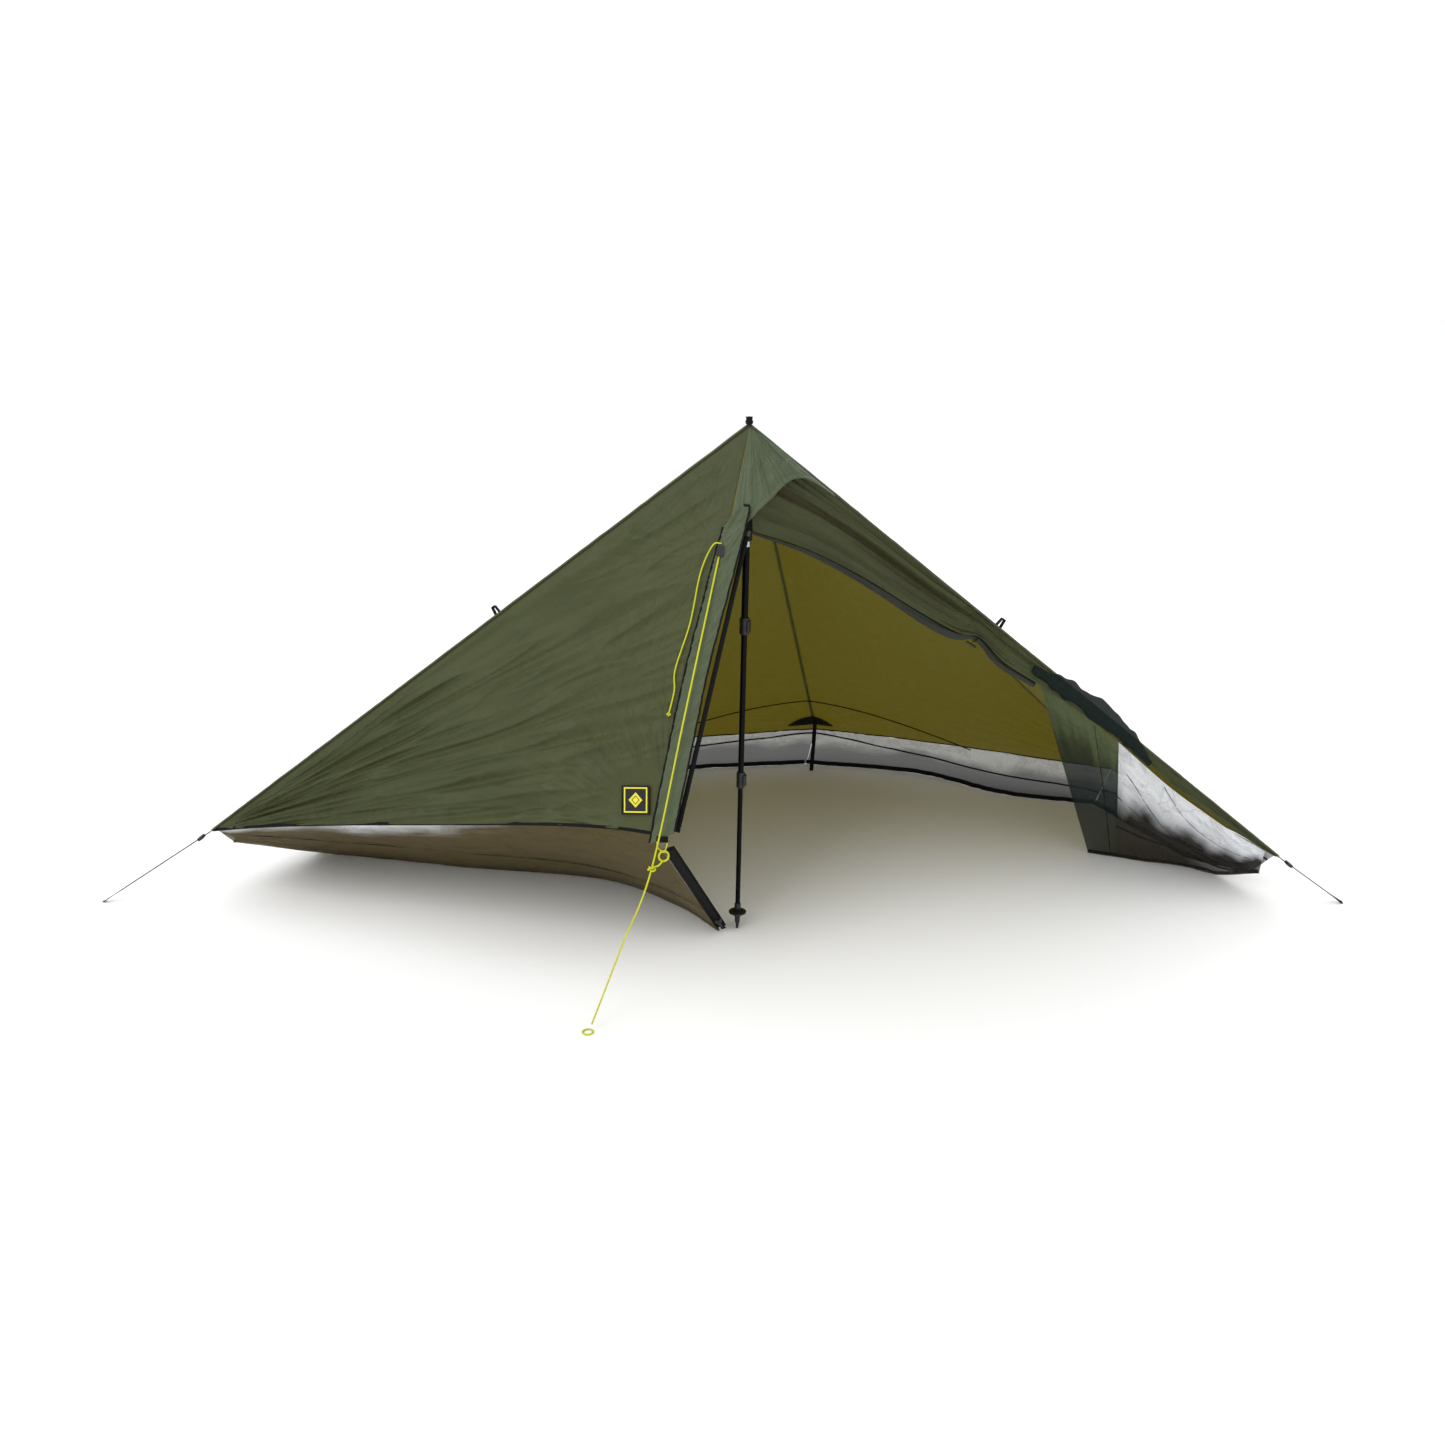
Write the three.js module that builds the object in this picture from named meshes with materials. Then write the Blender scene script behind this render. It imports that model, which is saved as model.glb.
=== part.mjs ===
// A single-pole pyramid shelter with a perimeter of mosquito net, pitched on one telescopic trekking pole.
// Millimetres, +Z up. The long ridge line runs along X, the doorway faces -Y, and the fabric corners
// are first set out from the pole's tip; the finished group is then centred on its footprint.
import * as THREE from "three";

// ---------------------------------------------------------------- driving dimensions

const PEAK = point(23, 0, 1250);
const LEFT_CORNER = point(-1370, 160, 200);
const RIGHT_CORNER = point(1420, 150, 130);
const FRONT_CORNER = point(-161, -250, 354);
const REAR_LEFT = point(-1020, 960, 100);
const REAR_CENTRE = point(280, 1215, 130);
const REAR_RIGHT = point(1200, 900, 100);
const HEART = point(50, 350, 60); // inside the shelter: every canopy panel is mitred towards it

const FABRIC_SHARE = 0.003; // wall depth of the canopy panels, as a share of their distance to HEART
const SEAM_GAP = 1.2; // what each panel is cut back from its outline
const NET_WALL = 1.6;
const HEM_RISE = 32; // how far the front hem is cut up into the panel
const NET_DROP = 10; // clear height between a hem and the net under it

const WEBBING_WIDTH = 13;
const WEBBING_WALL = 1.6;
const ADJUSTER = { width: 21, wall: 8, length: 15, clearance: 0.5 };

const LINE_RADIUS = 2; // guyline, 4 mm across
const TAIL_RADIUS = 1.7;
const TAIL_CLEARANCE = 4; // between the tensioner and the tail that leaves it

const POLE = {
  tip: { flat: 3, collar: 8, length: 70 },
  lower: { radius: 6, top: 560 },
  middle: { radius: 7, bore: 6.4, bottom: 392, top: 930 },
  upper: { radius: 8, bore: 7.4, bottom: 772, top: 1196 },
  grip: { radius: 14.5, bottom: 990, top: 1212 },
  basket: { radius: 22, height: 46 },
  lock: { wall: 3.2, length: 40 },
};
const PART_GAP = 0.35; // clearance between neighbouring solids

// Fabric outlines on the right front panel: [share along the ridge, share towards the front corner].
const HOOD_EDGE = [
  [0.014, 0.219], [0.031, 0.164], [0.046, 0.116], [0.056, 0.08], [0.068, 0.049], [0.085, 0.024],
  [0.106, 0.012], [0.14, 0.009],
];
const ROLL_LINE = [
  [0.034, 0.215], [0.12, 0.161], [0.204, 0.128], [0.31, 0.103], [0.37, 0.082], [0.405, 0.055],
  [0.45, 0.066], [0.514, 0.054],
];
const ROLL_RADII = [5, 9, 13, 17, 18, 9, 12, 9];
const DOOR_REMNANT_EDGE = [
  [0.6, 0.04], [0.714, 0.03], [0.779, 0.035], [0.84, 0.031], [0.927, 0.02], [0.985, 0.009],
];

// Where the net meets the ground, in plan.
const NET_FOOT = {
  frontLeft: [[-1310, 235], [-1140, 455], [-770, 370], [-370, 290], [-160, 130], [-52, -22]],
  leftEnd: [[-1300, 270], [-1190, 490], [-1080, 720], [-985, 915]],
  rearLeft: [[-960, 925], [-560, 1060], [-150, 1170], [240, 1225]],
  rearRight: [[262, 1226], [620, 1130], [870, 935], [1130, 860]],
  rightEnd: [[1150, 835], [1215, 640], [1290, 440], [1375, 240]],
  frontRight: [[1092, 440], [1160, 410], [1250, 380], [1330, 320], [1385, 220]],
  door: [[1020, 470], [1050, 456], [1078, 444]],
};

// ---------------------------------------------------------------- finishes

const finish = (color, roughness, metalness = 0) => ({ color, roughness, metalness });
const FINISH = {
  shell: finish("#59634a", 0.5),
  hood: finish("#4f6a4b", 0.5),
  net: finish("#23261f", 0.8),
  webbing: finish("#17171a", 0.75),
  cord: finish("#d8dc3a", 0.6),
  plastic: finish("#111113", 0.45),
  shaft: finish("#0d0d0f", 0.3, 0.8),
  steel: finish("#b9bcc0", 0.3, 1),
  foam: finish("#1a1a1c", 0.9),
  badge: finish("#0e0e10", 0.7),
};

// ---------------------------------------------------------------- geometry helpers

function point(x, y, z) {
  return new THREE.Vector3(x, y, z);
}

const between = (a, b, share) => a.clone().lerp(b, share);
const moved = (p, direction, distance) => p.clone().addScaledVector(direction, distance);
const towards = (a, b) => b.clone().sub(a).normalize();

// The unit normal of the plane a, b, c, pointing away from HEART.
function outwardNormal(a, b, c) {
  const normal = b.clone().sub(a).cross(c.clone().sub(a)).normalize();
  return normal.dot(a.clone().sub(HEART)) < 0 ? normal.negate() : normal;
}

// A closed solid from its corners and triangles; the triangles are turned to face out.
function closedSolid(corners, triangles) {
  let volume = 0;
  for (const [i, j, k] of triangles)
    volume += corners[i].clone().cross(corners[j]).dot(corners[k]);
  const geometry = new THREE.BufferGeometry();
  geometry.setAttribute(
    "position",
    new THREE.Float32BufferAttribute(corners.flatMap((c) => [c.x, c.y, c.z]), 3),
  );
  geometry.setIndex(triangles.flatMap(([i, j, k]) => (volume < 0 ? [i, k, j] : [i, j, k])));
  const flat = geometry.toNonIndexed();
  flat.computeVertexNormals();
  return flat;
}

// A wall between a flat outline and its twin: cap, back cap and the band that joins them.
function wall(outline, twin) {
  const count = outline.length;
  const lastEdge = outline[count - 1].clone().sub(outline[0]);
  const normal = outline[1].clone().sub(outline[0]).cross(lastEdge).normalize();
  const across = towards(outline[0], outline[1]);
  const up = normal.clone().cross(across);
  const contour = outline.map((p) => new THREE.Vector2(p.dot(across), p.dot(up)));
  const cap = THREE.ShapeUtils.triangulateShape(contour, []);
  const clockwise = THREE.ShapeUtils.isClockWise(contour);
  const front = cap.map(([i, j, k]) => (clockwise ? [i, k, j] : [i, j, k]));
  const triangles = [...front, ...front.map(([i, j, k]) => [count + i, count + k, count + j])];
  const [near, far] = clockwise ? [1, 0] : [0, 1];
  for (let i = 0; i < count; i++) {
    const edge = [i, (i + 1) % count];
    const a = edge[near];
    const b = edge[far];
    triangles.push([b, a, count + a], [b, count + a, count + b]);
  }
  return closedSolid([...outline, ...twin], triangles);
}

// Each corner of an outline moved towards the outline's middle.
function cutBack(outline, gap) {
  const middle = outline.reduce((sum, p) => sum.add(p), point(0, 0, 0)).divideScalar(outline.length);
  return outline.map((p) => moved(p, towards(p, middle), gap));
}

// A canopy panel: cut back at its seams, with its wall mitred towards HEART.
function canopyPanel(outline) {
  const outer = cutBack(outline, SEAM_GAP);
  return wall(outer, outer.map((p) => between(p, HEART, FABRIC_SHARE)));
}

// A sheet ruled between two lines of as many points each, with a wall along a fixed direction.
function ruledSheet(top, bottom, direction, depth) {
  const n = top.length;
  const face = [...top, ...bottom];
  const triangles = [];
  const quad = (a, b, c, d) => triangles.push([a, b, c], [a, c, d]);
  const back = 2 * n;
  for (let i = 0; i + 1 < n; i++) {
    quad(i, i + 1, n + i + 1, n + i);
    quad(back + i, back + n + i, back + n + i + 1, back + i + 1);
    quad(i, back + i, back + i + 1, i + 1);
    quad(n + i, n + i + 1, back + n + i + 1, back + n + i);
  }
  quad(0, n, back + n, back);
  quad(n - 1, back + n - 1, back + 2 * n - 1, 2 * n - 1);
  return closedSolid([...face, ...face.map((p) => moved(p, direction, depth))], triangles);
}

// A round bundle along a path, with a radius at each point of the path.
function bundle(path, radii, sides = 12) {
  const corners = [];
  const triangles = [];
  path.forEach((p, i) => {
    const along = towards(path[Math.max(0, i - 1)], path[Math.min(path.length - 1, i + 1)]);
    const side = along.clone().cross(point(0, 1, 0)).normalize();
    const other = along.clone().cross(side);
    for (let k = 0; k < sides; k++) {
      const angle = (2 * Math.PI * k) / sides;
      corners.push(moved(moved(p, side, radii[i] * Math.cos(angle)), other, radii[i] * Math.sin(angle)));
    }
  });
  for (let i = 0; i + 1 < path.length; i++)
    for (let k = 0; k < sides; k++) {
      const a = i * sides + k;
      const b = i * sides + ((k + 1) % sides);
      triangles.push([a, b, b + sides], [a, b + sides, a + sides]);
    }
  const last = (path.length - 1) * sides;
  for (let k = 1; k + 1 < sides; k++) {
    triangles.push([0, k + 1, k]);
    triangles.push([last, last + k, last + k + 1]);
  }
  return closedSolid(corners, triangles);
}

// A cord: a round section carried along a smooth curve through the points.
function cord(points, radius, steps) {
  const section = new THREE.Shape(
    new THREE.Path().absarc(0, 0, radius, 0, 2 * Math.PI, false).getPoints(4).slice(0, -1),
  );
  return new THREE.ExtrudeGeometry(section, {
    extrudePath: new THREE.CatmullRomCurve3(points, false, "centripetal"),
    steps,
    bevelEnabled: false,
  });
}

// A round tube or disc about Z from its half profile, closed on itself.
const turned = (profile, segments = 24) =>
  new THREE.LatheGeometry(
    [...profile, profile[0]].map(([r, z]) => new THREE.Vector2(r, z)),
    segments,
  ).rotateX(
    Math.PI / 2,
  );

const ring = (radius, section) => new THREE.TorusGeometry(radius, section, 10, 28);

// A bar with a hole along it, both rectangular, centred on the origin with its length along Z.
function sleeve(width, depth, length, holeWidth, holeDepth) {
  const rectangle = (w, d) => [
    new THREE.Vector2(-w / 2, -d / 2),
    new THREE.Vector2(w / 2, -d / 2),
    new THREE.Vector2(w / 2, d / 2),
    new THREE.Vector2(-w / 2, d / 2),
  ];
  const shape = new THREE.Shape(rectangle(width, depth));
  shape.holes.push(new THREE.Path(rectangle(holeWidth, holeDepth).reverse()));
  const prism = new THREE.ExtrudeGeometry(shape, { depth: length, bevelEnabled: false });
  return prism.translate(0, 0, -length / 2);
}

// A frame whose Z runs along one direction and whose X is as level as it can be.
function frameAt(origin, along, widthHint = point(0, 0, 1).cross(along)) {
  const z = along.clone().normalize();
  const x = widthHint.clone().addScaledVector(z, -widthHint.dot(z)).normalize();
  const group = new THREE.Group();
  group.quaternion.setFromRotationMatrix(new THREE.Matrix4().makeBasis(x, z.clone().cross(x), z));
  group.position.copy(origin);
  return group;
}

// ---------------------------------------------------------------- the shelter

const shelter = new THREE.Group();

function add(name, geometry, material, parent = shelter) {
  const mesh = new THREE.Mesh(geometry, new THREE.MeshStandardMaterial(FINISH[material]));
  mesh.name = name;
  parent.add(mesh);
  return mesh;
}

const leftFrontNormal = outwardNormal(PEAK, LEFT_CORNER, FRONT_CORNER);
const rightFrontNormal = outwardNormal(PEAK, RIGHT_CORNER, FRONT_CORNER);

// A point of the right front panel, lifted off its plane.
function onDoor([alongRidge, towardsFront], lift = 0) {
  return PEAK.clone()
    .addScaledVector(RIGHT_CORNER.clone().sub(PEAK), alongRidge)
    .addScaledVector(FRONT_CORNER.clone().sub(PEAK), towardsFront)
    .addScaledVector(rightFrontNormal, lift);
}

// A point of the left front panel, by shares towards the left corner and the front corner.
function onLeftFront([towardsLeft, towardsFront], lift = 0) {
  return PEAK.clone()
    .addScaledVector(LEFT_CORNER.clone().sub(PEAK), towardsLeft)
    .addScaledVector(FRONT_CORNER.clone().sub(PEAK), towardsFront)
    .addScaledVector(leftFrontNormal, lift);
}

// The front hem: nearly straight between its corners, cut up into the panel by HEM_RISE.
function frontHem(share) {
  const rise = HEM_RISE * (1 - (2 * share - 1) ** 4);
  const base = between(LEFT_CORNER, FRONT_CORNER, share);
  return moved(base, towards(base, PEAK), rise);
}

// ---- canopy panels

const hemShares = [0.1, 0.3, 0.5, 0.7, 0.9];
const SEAM_LINE = [[0.027, 1.0], [0.022, 0.6], [0.006, 0.31], [0.0, 0.255]];
add(
  "front_left_panel",
  canopyPanel([
    PEAK,
    LEFT_CORNER,
    ...hemShares.map(frontHem),
    ...SEAM_LINE.map((share) => onLeftFront(share)),
  ]),
  "shell",
);
add("left_end_panel", canopyPanel([PEAK, LEFT_CORNER, REAR_LEFT]), "shell");
add("rear_left_panel", canopyPanel([PEAK, REAR_LEFT, REAR_CENTRE]), "shell");
add("rear_right_panel", canopyPanel([PEAK, REAR_CENTRE, REAR_RIGHT]), "shell");
add("right_end_panel", canopyPanel([PEAK, REAR_RIGHT, RIGHT_CORNER]), "shell");

add(
  "right_front_panel",
  canopyPanel([
    PEAK,
    onDoor(ROLL_LINE[0]),
    ...ROLL_LINE.slice(1).map((share) => onDoor(share)),
    ...DOOR_REMNANT_EDGE.map((share) => onDoor(share)),
    RIGHT_CORNER,
  ]),
  "shell",
);

const HOOD_LIFT = 7;
const hoodOutline = [onDoor([0, 0.03]), ...HOOD_EDGE.map((share) => onDoor(share)), onDoor([0.025, 0.002])];
const hoodInner = hoodOutline.map((p) => moved(p, rightFrontNormal, HOOD_LIFT));
add("vent_hood", wall(hoodInner, hoodInner.map((p) => moved(p, rightFrontNormal, NET_WALL))), "hood");

// ---- door: placket, zip, roll and toggle

const placketInner = [[0.016, 0.316], [0.029, 0.6], [0.032, 0.985]];
const placketOuter = [[-0.033, 0.27], [-0.016, 0.6], [-0.012, 1.0]];
const PLACKET_LIFT = 3;
add(
  "zip_placket",
  ruledSheet(
    placketInner.map((share) => onLeftFront(share, PLACKET_LIFT)),
    placketOuter.map((share) => onLeftFront(share, PLACKET_LIFT)),
    leftFrontNormal,
    NET_WALL,
  ),
  "hood",
);

const ZIP = { width: 12, wall: 1.6, sink: -6, slider: 9 };
const zipTop = onLeftFront([-0.035, 0.285], ZIP.sink);
const zipFoot = onLeftFront([-0.014, 1.0], ZIP.sink);
const zipWay = zipFoot.clone().sub(zipTop);
const doorZip = frameAt(zipTop, zipWay, leftFrontNormal.clone().cross(zipWay));
shelter.add(doorZip);
const doorZipLength = zipTop.distanceTo(zipFoot);
add("door_zip", new THREE.BoxGeometry(ZIP.width, ZIP.wall, doorZipLength), "webbing", doorZip).position.z =
  doorZipLength / 2;

// A slider that wraps a zip, with its pull hinged on the outer face.
function zipSlider(prefix, parent, along, side) {
  const slider = add(
    prefix + "_slider",
    sleeve(ZIP.slider + 7, ZIP.slider, 12, ZIP.width + 1, ZIP.wall + 1),
    "plastic",
    parent,
  );
  slider.position.z = along;
  const tab = new THREE.BoxGeometry(6, 1.6, 26).translate(0, 0, 14);
  const pull = add(prefix + "_pull", tab, "plastic", parent);
  pull.position.set(0, side * (ZIP.slider / 2 + 0.8 + PART_GAP), along - 1);
}
zipSlider("door_zip", doorZip, 12, -1);

const rollPath = ROLL_LINE.map((share, i) => onDoor(share, -(ROLL_RADII[i] + 8)));
add("door_roll", bundle(rollPath, ROLL_RADII), "shell");

const PINCH = 5; // the point of the roll that the toggle holds
const toggleFrame = frameAt(rollPath[PINCH], towards(rollPath[PINCH - 1], rollPath[PINCH + 1]));
shelter.add(toggleFrame);
add("roll_loop", ring(ROLL_RADII[PINCH] + 3, 1.1), "webbing", toggleFrame);
const toggleReach = ROLL_RADII[PINCH] + 3 + 1.1 + PART_GAP + 7;
const toggle = add(
  "roll_toggle",
  turned([[0, -15], [2.2, -14], [3, -11], [3, 11], [2.2, 14], [0, 15]], 12),
  "plastic",
  toggleFrame,
);
toggle.position.copy(
  point(0, 0, -1)
    .applyQuaternion(toggleFrame.quaternion.clone().invert())
    .setZ(0)
    .setLength(toggleReach),
);

// ---- perimeter net

// The top line of a net, a little under the hem it is sewn to.
const underHem = (p) => moved(p, point(0, 0, -1), NET_DROP);
const onGround = ([x, y], height = 0) => point(x, y, height);
const stretch = (a, b, shares) => shares.map((share) => underHem(between(a, b, share)));

function net(name, top, bottom, direction) {
  add(name, ruledSheet(top, bottom, direction.normalize(), NET_WALL), "net");
}

net(
  "net_front_left",
  [0.045, 0.2, 0.45, 0.7, 0.86, 0.95].map((share) => underHem(frontHem(share))),
  NET_FOOT.frontLeft.map((p, i) => onGround(p, i === 0 ? 120 : 0)),
  point(0, 1, 0.4),
);
net(
  "net_left_end",
  stretch(LEFT_CORNER, REAR_LEFT, [0.06, 0.35, 0.65, 0.96]),
  NET_FOOT.leftEnd.map((p, i) => onGround(p, i === 0 ? 110 : 0)),
  point(1, 0, 0.3),
);
net(
  "net_rear_left",
  stretch(REAR_LEFT, REAR_CENTRE, [0.02, 0.35, 0.68, 0.975]),
  NET_FOOT.rearLeft.map((p) => onGround(p)),
  point(0, -1, 0.2),
);
net(
  "net_rear_right",
  stretch(REAR_CENTRE, REAR_RIGHT, [0.025, 0.35, 0.66, 0.97]),
  NET_FOOT.rearRight.map((p) => onGround(p)),
  point(0, -1, 0.3),
);
net(
  "net_right_end",
  stretch(REAR_RIGHT, RIGHT_CORNER, [0.04, 0.35, 0.65, 0.93]),
  NET_FOOT.rightEnd.map((p, i) => onGround(p, i === 3 ? 60 : 0)),
  point(-1, 0, 0.3),
);
net(
  "net_front_right",
  [[0.69, 0.04], [0.77, 0.045], [0.84, 0.04], [0.91, 0.031], [0.965, 0.02]].map((share) => onDoor(share, -9)),
  NET_FOOT.frontRight.map((p, i) => onGround(p, i === 4 ? 70 : 0)),
  point(0, 1, 0.4),
);
net(
  "net_door",
  [[0.52, 0.02], [0.59, 0.02], [0.67, 0.02]].map((share) => onDoor(share, -34)),
  NET_FOOT.door.map((p) => onGround(p)),
  point(0, 1, 0.4),
);

// The zipped front edge of the left net, from the front corner to the pole's tip.
const netZipTop = point(-154, -243, 322);
const netZipFoot = point(-34, -30, 14);
const netZip = frameAt(netZipTop, netZipFoot.clone().sub(netZipTop), point(1, 0.15, 0));
shelter.add(netZip);
const netZipLength = netZipTop.distanceTo(netZipFoot);
add("net_zip", new THREE.BoxGeometry(ZIP.width, ZIP.wall, netZipLength), "webbing", netZip).position.z =
  netZipLength / 2;
zipSlider("net_zip", netZip, netZipLength - 44, 1);

// ---- corner webbing with its slide adjusters

// A strap from under a corner down to the ground, its lower end cut level with the ground.
function cornerStrap(name, corner, foot) {
  const along = towards(corner, foot);
  const side = point(0, 0, 1).cross(along).normalize().multiplyScalar(WEBBING_WIDTH / 2);
  const depth = along.clone().cross(side).normalize();
  const start = moved(corner, along, 5);
  const section = (p, offset) => [p.clone().add(side).add(offset), p.clone().sub(side).add(offset)];
  const half = depth.clone().multiplyScalar(WEBBING_WALL / 2);
  const levelHalf = depth.clone().setZ(0).normalize().multiplyScalar(WEBBING_WALL / 2 / Math.abs(along.z));
  if (levelHalf.dot(half) < 0) levelHalf.negate();
  const [a, b] = section(start, half);
  const [d, c] = section(start, half.clone().negate());
  const [e, f] = section(foot, levelHalf);
  const [h, g] = section(foot, levelHalf.clone().negate());
  add(name + "_strap", wall([a, b, c, d], [e, f, g, h]), "webbing");

  const frame = frameAt(moved(start, along, 30), along, side);
  shelter.add(frame);
  add(
    name + "_adjuster",
    sleeve(
      ADJUSTER.width,
      ADJUSTER.wall,
      ADJUSTER.length,
      WEBBING_WIDTH + 2 * ADJUSTER.clearance,
      WEBBING_WALL + 2 * ADJUSTER.clearance,
    ),
    "plastic",
    frame,
  );
}
cornerStrap("left_end", LEFT_CORNER, point(-1679, 150, 0));
cornerStrap("right_end", RIGHT_CORNER, point(1603, 144, 0));
cornerStrap("rear_left", REAR_LEFT, point(-1180, 1105, 0));
cornerStrap("rear_right", REAR_RIGHT, point(1360, 1045, 0));

// ---- rear pull-out

const rearHub = between(REAR_CENTRE, PEAK, 0.04);
const rearInward = point(0, -1, 0.15).normalize();
const PATCH = { reach: 0.07, low: 0.028, height: 0.034, depth: 0.006 };

// A point inside the rear panels: a share of the way out to a rear corner, then up towards the peak.
function insideRear(turn, outward, upward, depth) {
  const hem = between(REAR_CENTRE, turn < 0 ? REAR_LEFT : REAR_RIGHT, outward * Math.abs(turn));
  return between(between(hem, PEAK, upward), HEART, depth);
}
const patchTurns = [-1, -0.75, -0.4, 0, 0.4, 0.75, 1];
add(
  "rear_hub_patch",
  ruledSheet(
    patchTurns.map((t) => insideRear(t, PATCH.reach, PATCH.low + PATCH.height * (1.15 - t * t), PATCH.depth)),
    patchTurns.map((t) => insideRear(t, PATCH.reach, PATCH.low, PATCH.depth)),
    rearInward,
    NET_WALL,
  ),
  "webbing",
);
const rearStrapTop = between(rearHub, HEART, 0.012);
const rearStrapFoot = point(258, 1160, 0);
add(
  "rear_centre_strap",
  ruledSheet(
    [rearStrapTop, moved(rearStrapTop, point(1, 0, 0), WEBBING_WIDTH)],
    [rearStrapFoot, moved(rearStrapFoot, point(1, 0, 0), WEBBING_WIDTH)],
    point(0, -1, 0),
    WEBBING_WALL,
  ),
  "webbing",
);

// The sewn-in line that arches over the rear pull-out, inside the canopy.
const ARCH = { reach: 0.56, height: 0.135, steps: 16 };
const archPoint = (turn) =>
  insideRear(turn, turn < 0 ? 0.85 * ARCH.reach : ARCH.reach, 0.012 + ARCH.height * (1 - turn * turn), 0.02);
add(
  "rear_arch_line",
  cord(Array.from({ length: ARCH.steps + 1 }, (_, i) => archPoint((2 * i) / ARCH.steps - 1)), 1.8, 40),
  "webbing",
);

// ---- mid-panel tie-out loops on the end panels

function tieOutLoop(name, ridgeCorner, rearCorner, share) {
  const base = between(between(PEAK, ridgeCorner, share), between(PEAK, rearCorner, share), 0.05);
  const normal = outwardNormal(PEAK, ridgeCorner, rearCorner);
  const along = towards(PEAK, ridgeCorner);
  const frame = frameAt(moved(base, normal, 2), normal, along);
  shelter.add(frame);
  const loop = new THREE.Shape([
    new THREE.Vector2(-8, 0), new THREE.Vector2(8, 0), new THREE.Vector2(5, 26), new THREE.Vector2(-5, 26),
  ]);
  loop.holes.push(
    new THREE.Path([
      new THREE.Vector2(-5, 3), new THREE.Vector2(-3, 23), new THREE.Vector2(3, 23), new THREE.Vector2(5, 3),
    ]),
  );
  add(
    name,
    new THREE.ExtrudeGeometry(loop, { depth: WEBBING_WIDTH, bevelEnabled: false })
      .translate(0, 0, -WEBBING_WIDTH / 2)
      .rotateX(Math.PI / 2),
    "webbing",
    frame,
  );
}
tieOutLoop("left_tieout_loop", LEFT_CORNER, REAR_LEFT, 0.435);
tieOutLoop("right_tieout_loop", RIGHT_CORNER, REAR_RIGHT, 0.435);

// ---- peak

add(
  "peak_tab",
  turned([[0, 0], [8, 0], [9, 5], [7, 10], [8, 16], [0, 17]], 16).translate(PEAK.x, PEAK.y, PEAK.z + 2),
  "webbing",
);

// ---- front guyline with its tensioner, tail, corner ring, knots and stake loop

const tensionerAt = onLeftFront([0.004, 0.3], 13);
const guyDirection = towards(tensionerAt, point(-192, -290, 318));
const tensionerFrame = frameAt(tensionerAt, guyDirection, point(1, 0, 0));
shelter.add(tensionerFrame);
add("line_tensioner", new THREE.BoxGeometry(16, 7, 24), "plastic", tensionerFrame);

const guyStart = moved(tensionerAt, guyDirection, 12 + PART_GAP);
const guyKnot = point(-197, -292, 296);
const guyEnd = point(-322, -484, 14);
const guyRoute = [guyStart, between(guyStart, guyKnot, 0.5), guyKnot, between(guyKnot, guyEnd, 0.5), guyEnd];
add("front_guyline", cord(guyRoute, LINE_RADIUS, 40), "cord");

const tailStart = moved(tensionerAt, guyDirection, -(12 + TAIL_RADIUS + TAIL_CLEARANCE));
const TAIL = [
  [0.02, 0.27, 14], [0.034, 0.32, 10], [0.035, 0.44, 10],
  [0.046, 0.54, 10], [0.04, 0.6, 10], [0.042, 0.66, 10],
];
add(
  "guyline_tail",
  cord([tailStart, ...TAIL.map(([left, front, lift]) => onLeftFront([left, front], lift))], TAIL_RADIUS, 40),
  "cord",
);

const knotFrame = frameAt(guyKnot, towards(guyStart, guyEnd));
shelter.add(knotFrame);
add("guyline_knot", ring(LINE_RADIUS + 3.4, 2.6), "cord", knotFrame);

const cornerRingAt = point(-170, -274, 320);
const cornerRingNormal = point(0.35, -1, 0.2).normalize();
const ringFrame = frameAt(cornerRingAt, cornerRingNormal);
shelter.add(ringFrame);
add("corner_ring", ring(11, 2.2), "cord", ringFrame);
const cornerRingRise = point(0, 0, 1).addScaledVector(cornerRingNormal, -cornerRingNormal.z);
const cornerRingTop = moved(cornerRingAt, cornerRingRise, 11);
const cornerLoopFrame = frameAt(
  moved(cornerRingTop, point(0, 0, 1), 8),
  point(0, 0, 1).cross(cornerRingNormal),
  point(0, 0, 1),
);
shelter.add(cornerLoopFrame);
add("corner_loop", ring(10, 1.5).scale(1.5, 0.62, 1), "cord", cornerLoopFrame);
const cornerTabFrame = frameAt(onLeftFront([0.008, 0.995], 7), leftFrontNormal, point(1, 0, 0));
shelter.add(cornerTabFrame);
add("corner_tab", new THREE.BoxGeometry(28, 14, 2.2), "webbing", cornerTabFrame);

const stakeFrame = frameAt(point(-330, -495, 2.2), point(0, 0, 1));
shelter.add(stakeFrame);
add("guyline_stake_loop", ring(11, 2), "cord", stakeFrame);

// ---- badge on the left front panel

const badgeFrame = frameAt(onLeftFront([0.075, 0.832], 2.4), leftFrontNormal, point(1, 0, 0));
shelter.add(badgeFrame);
add("badge", new THREE.BoxGeometry(68, 64, 1), "badge", badgeFrame);

// ---- trekking pole, standing on its tip and leaning with the peak

const pole = frameAt(point(0, 0, 0), towards(point(0, 0, 0), PEAK), point(1, 0, 0));
pole.position.z = 0.06; // the leaning tip's flat clears the ground at its edge
shelter.add(pole);

// Half profile of a tube.
const tube = (outer, inner, bottom, top) => [[inner, bottom], [outer, bottom], [outer, top], [inner, top]];
const rod = (radius, bottom, top) => [[0, bottom], [radius, bottom], [radius, top], [0, top]];
const rodSolid = (profile, segments = 24) =>
  new THREE.LatheGeometry(profile.map(([r, z]) => new THREE.Vector2(r, z)), segments).rotateX(Math.PI / 2);

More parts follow.
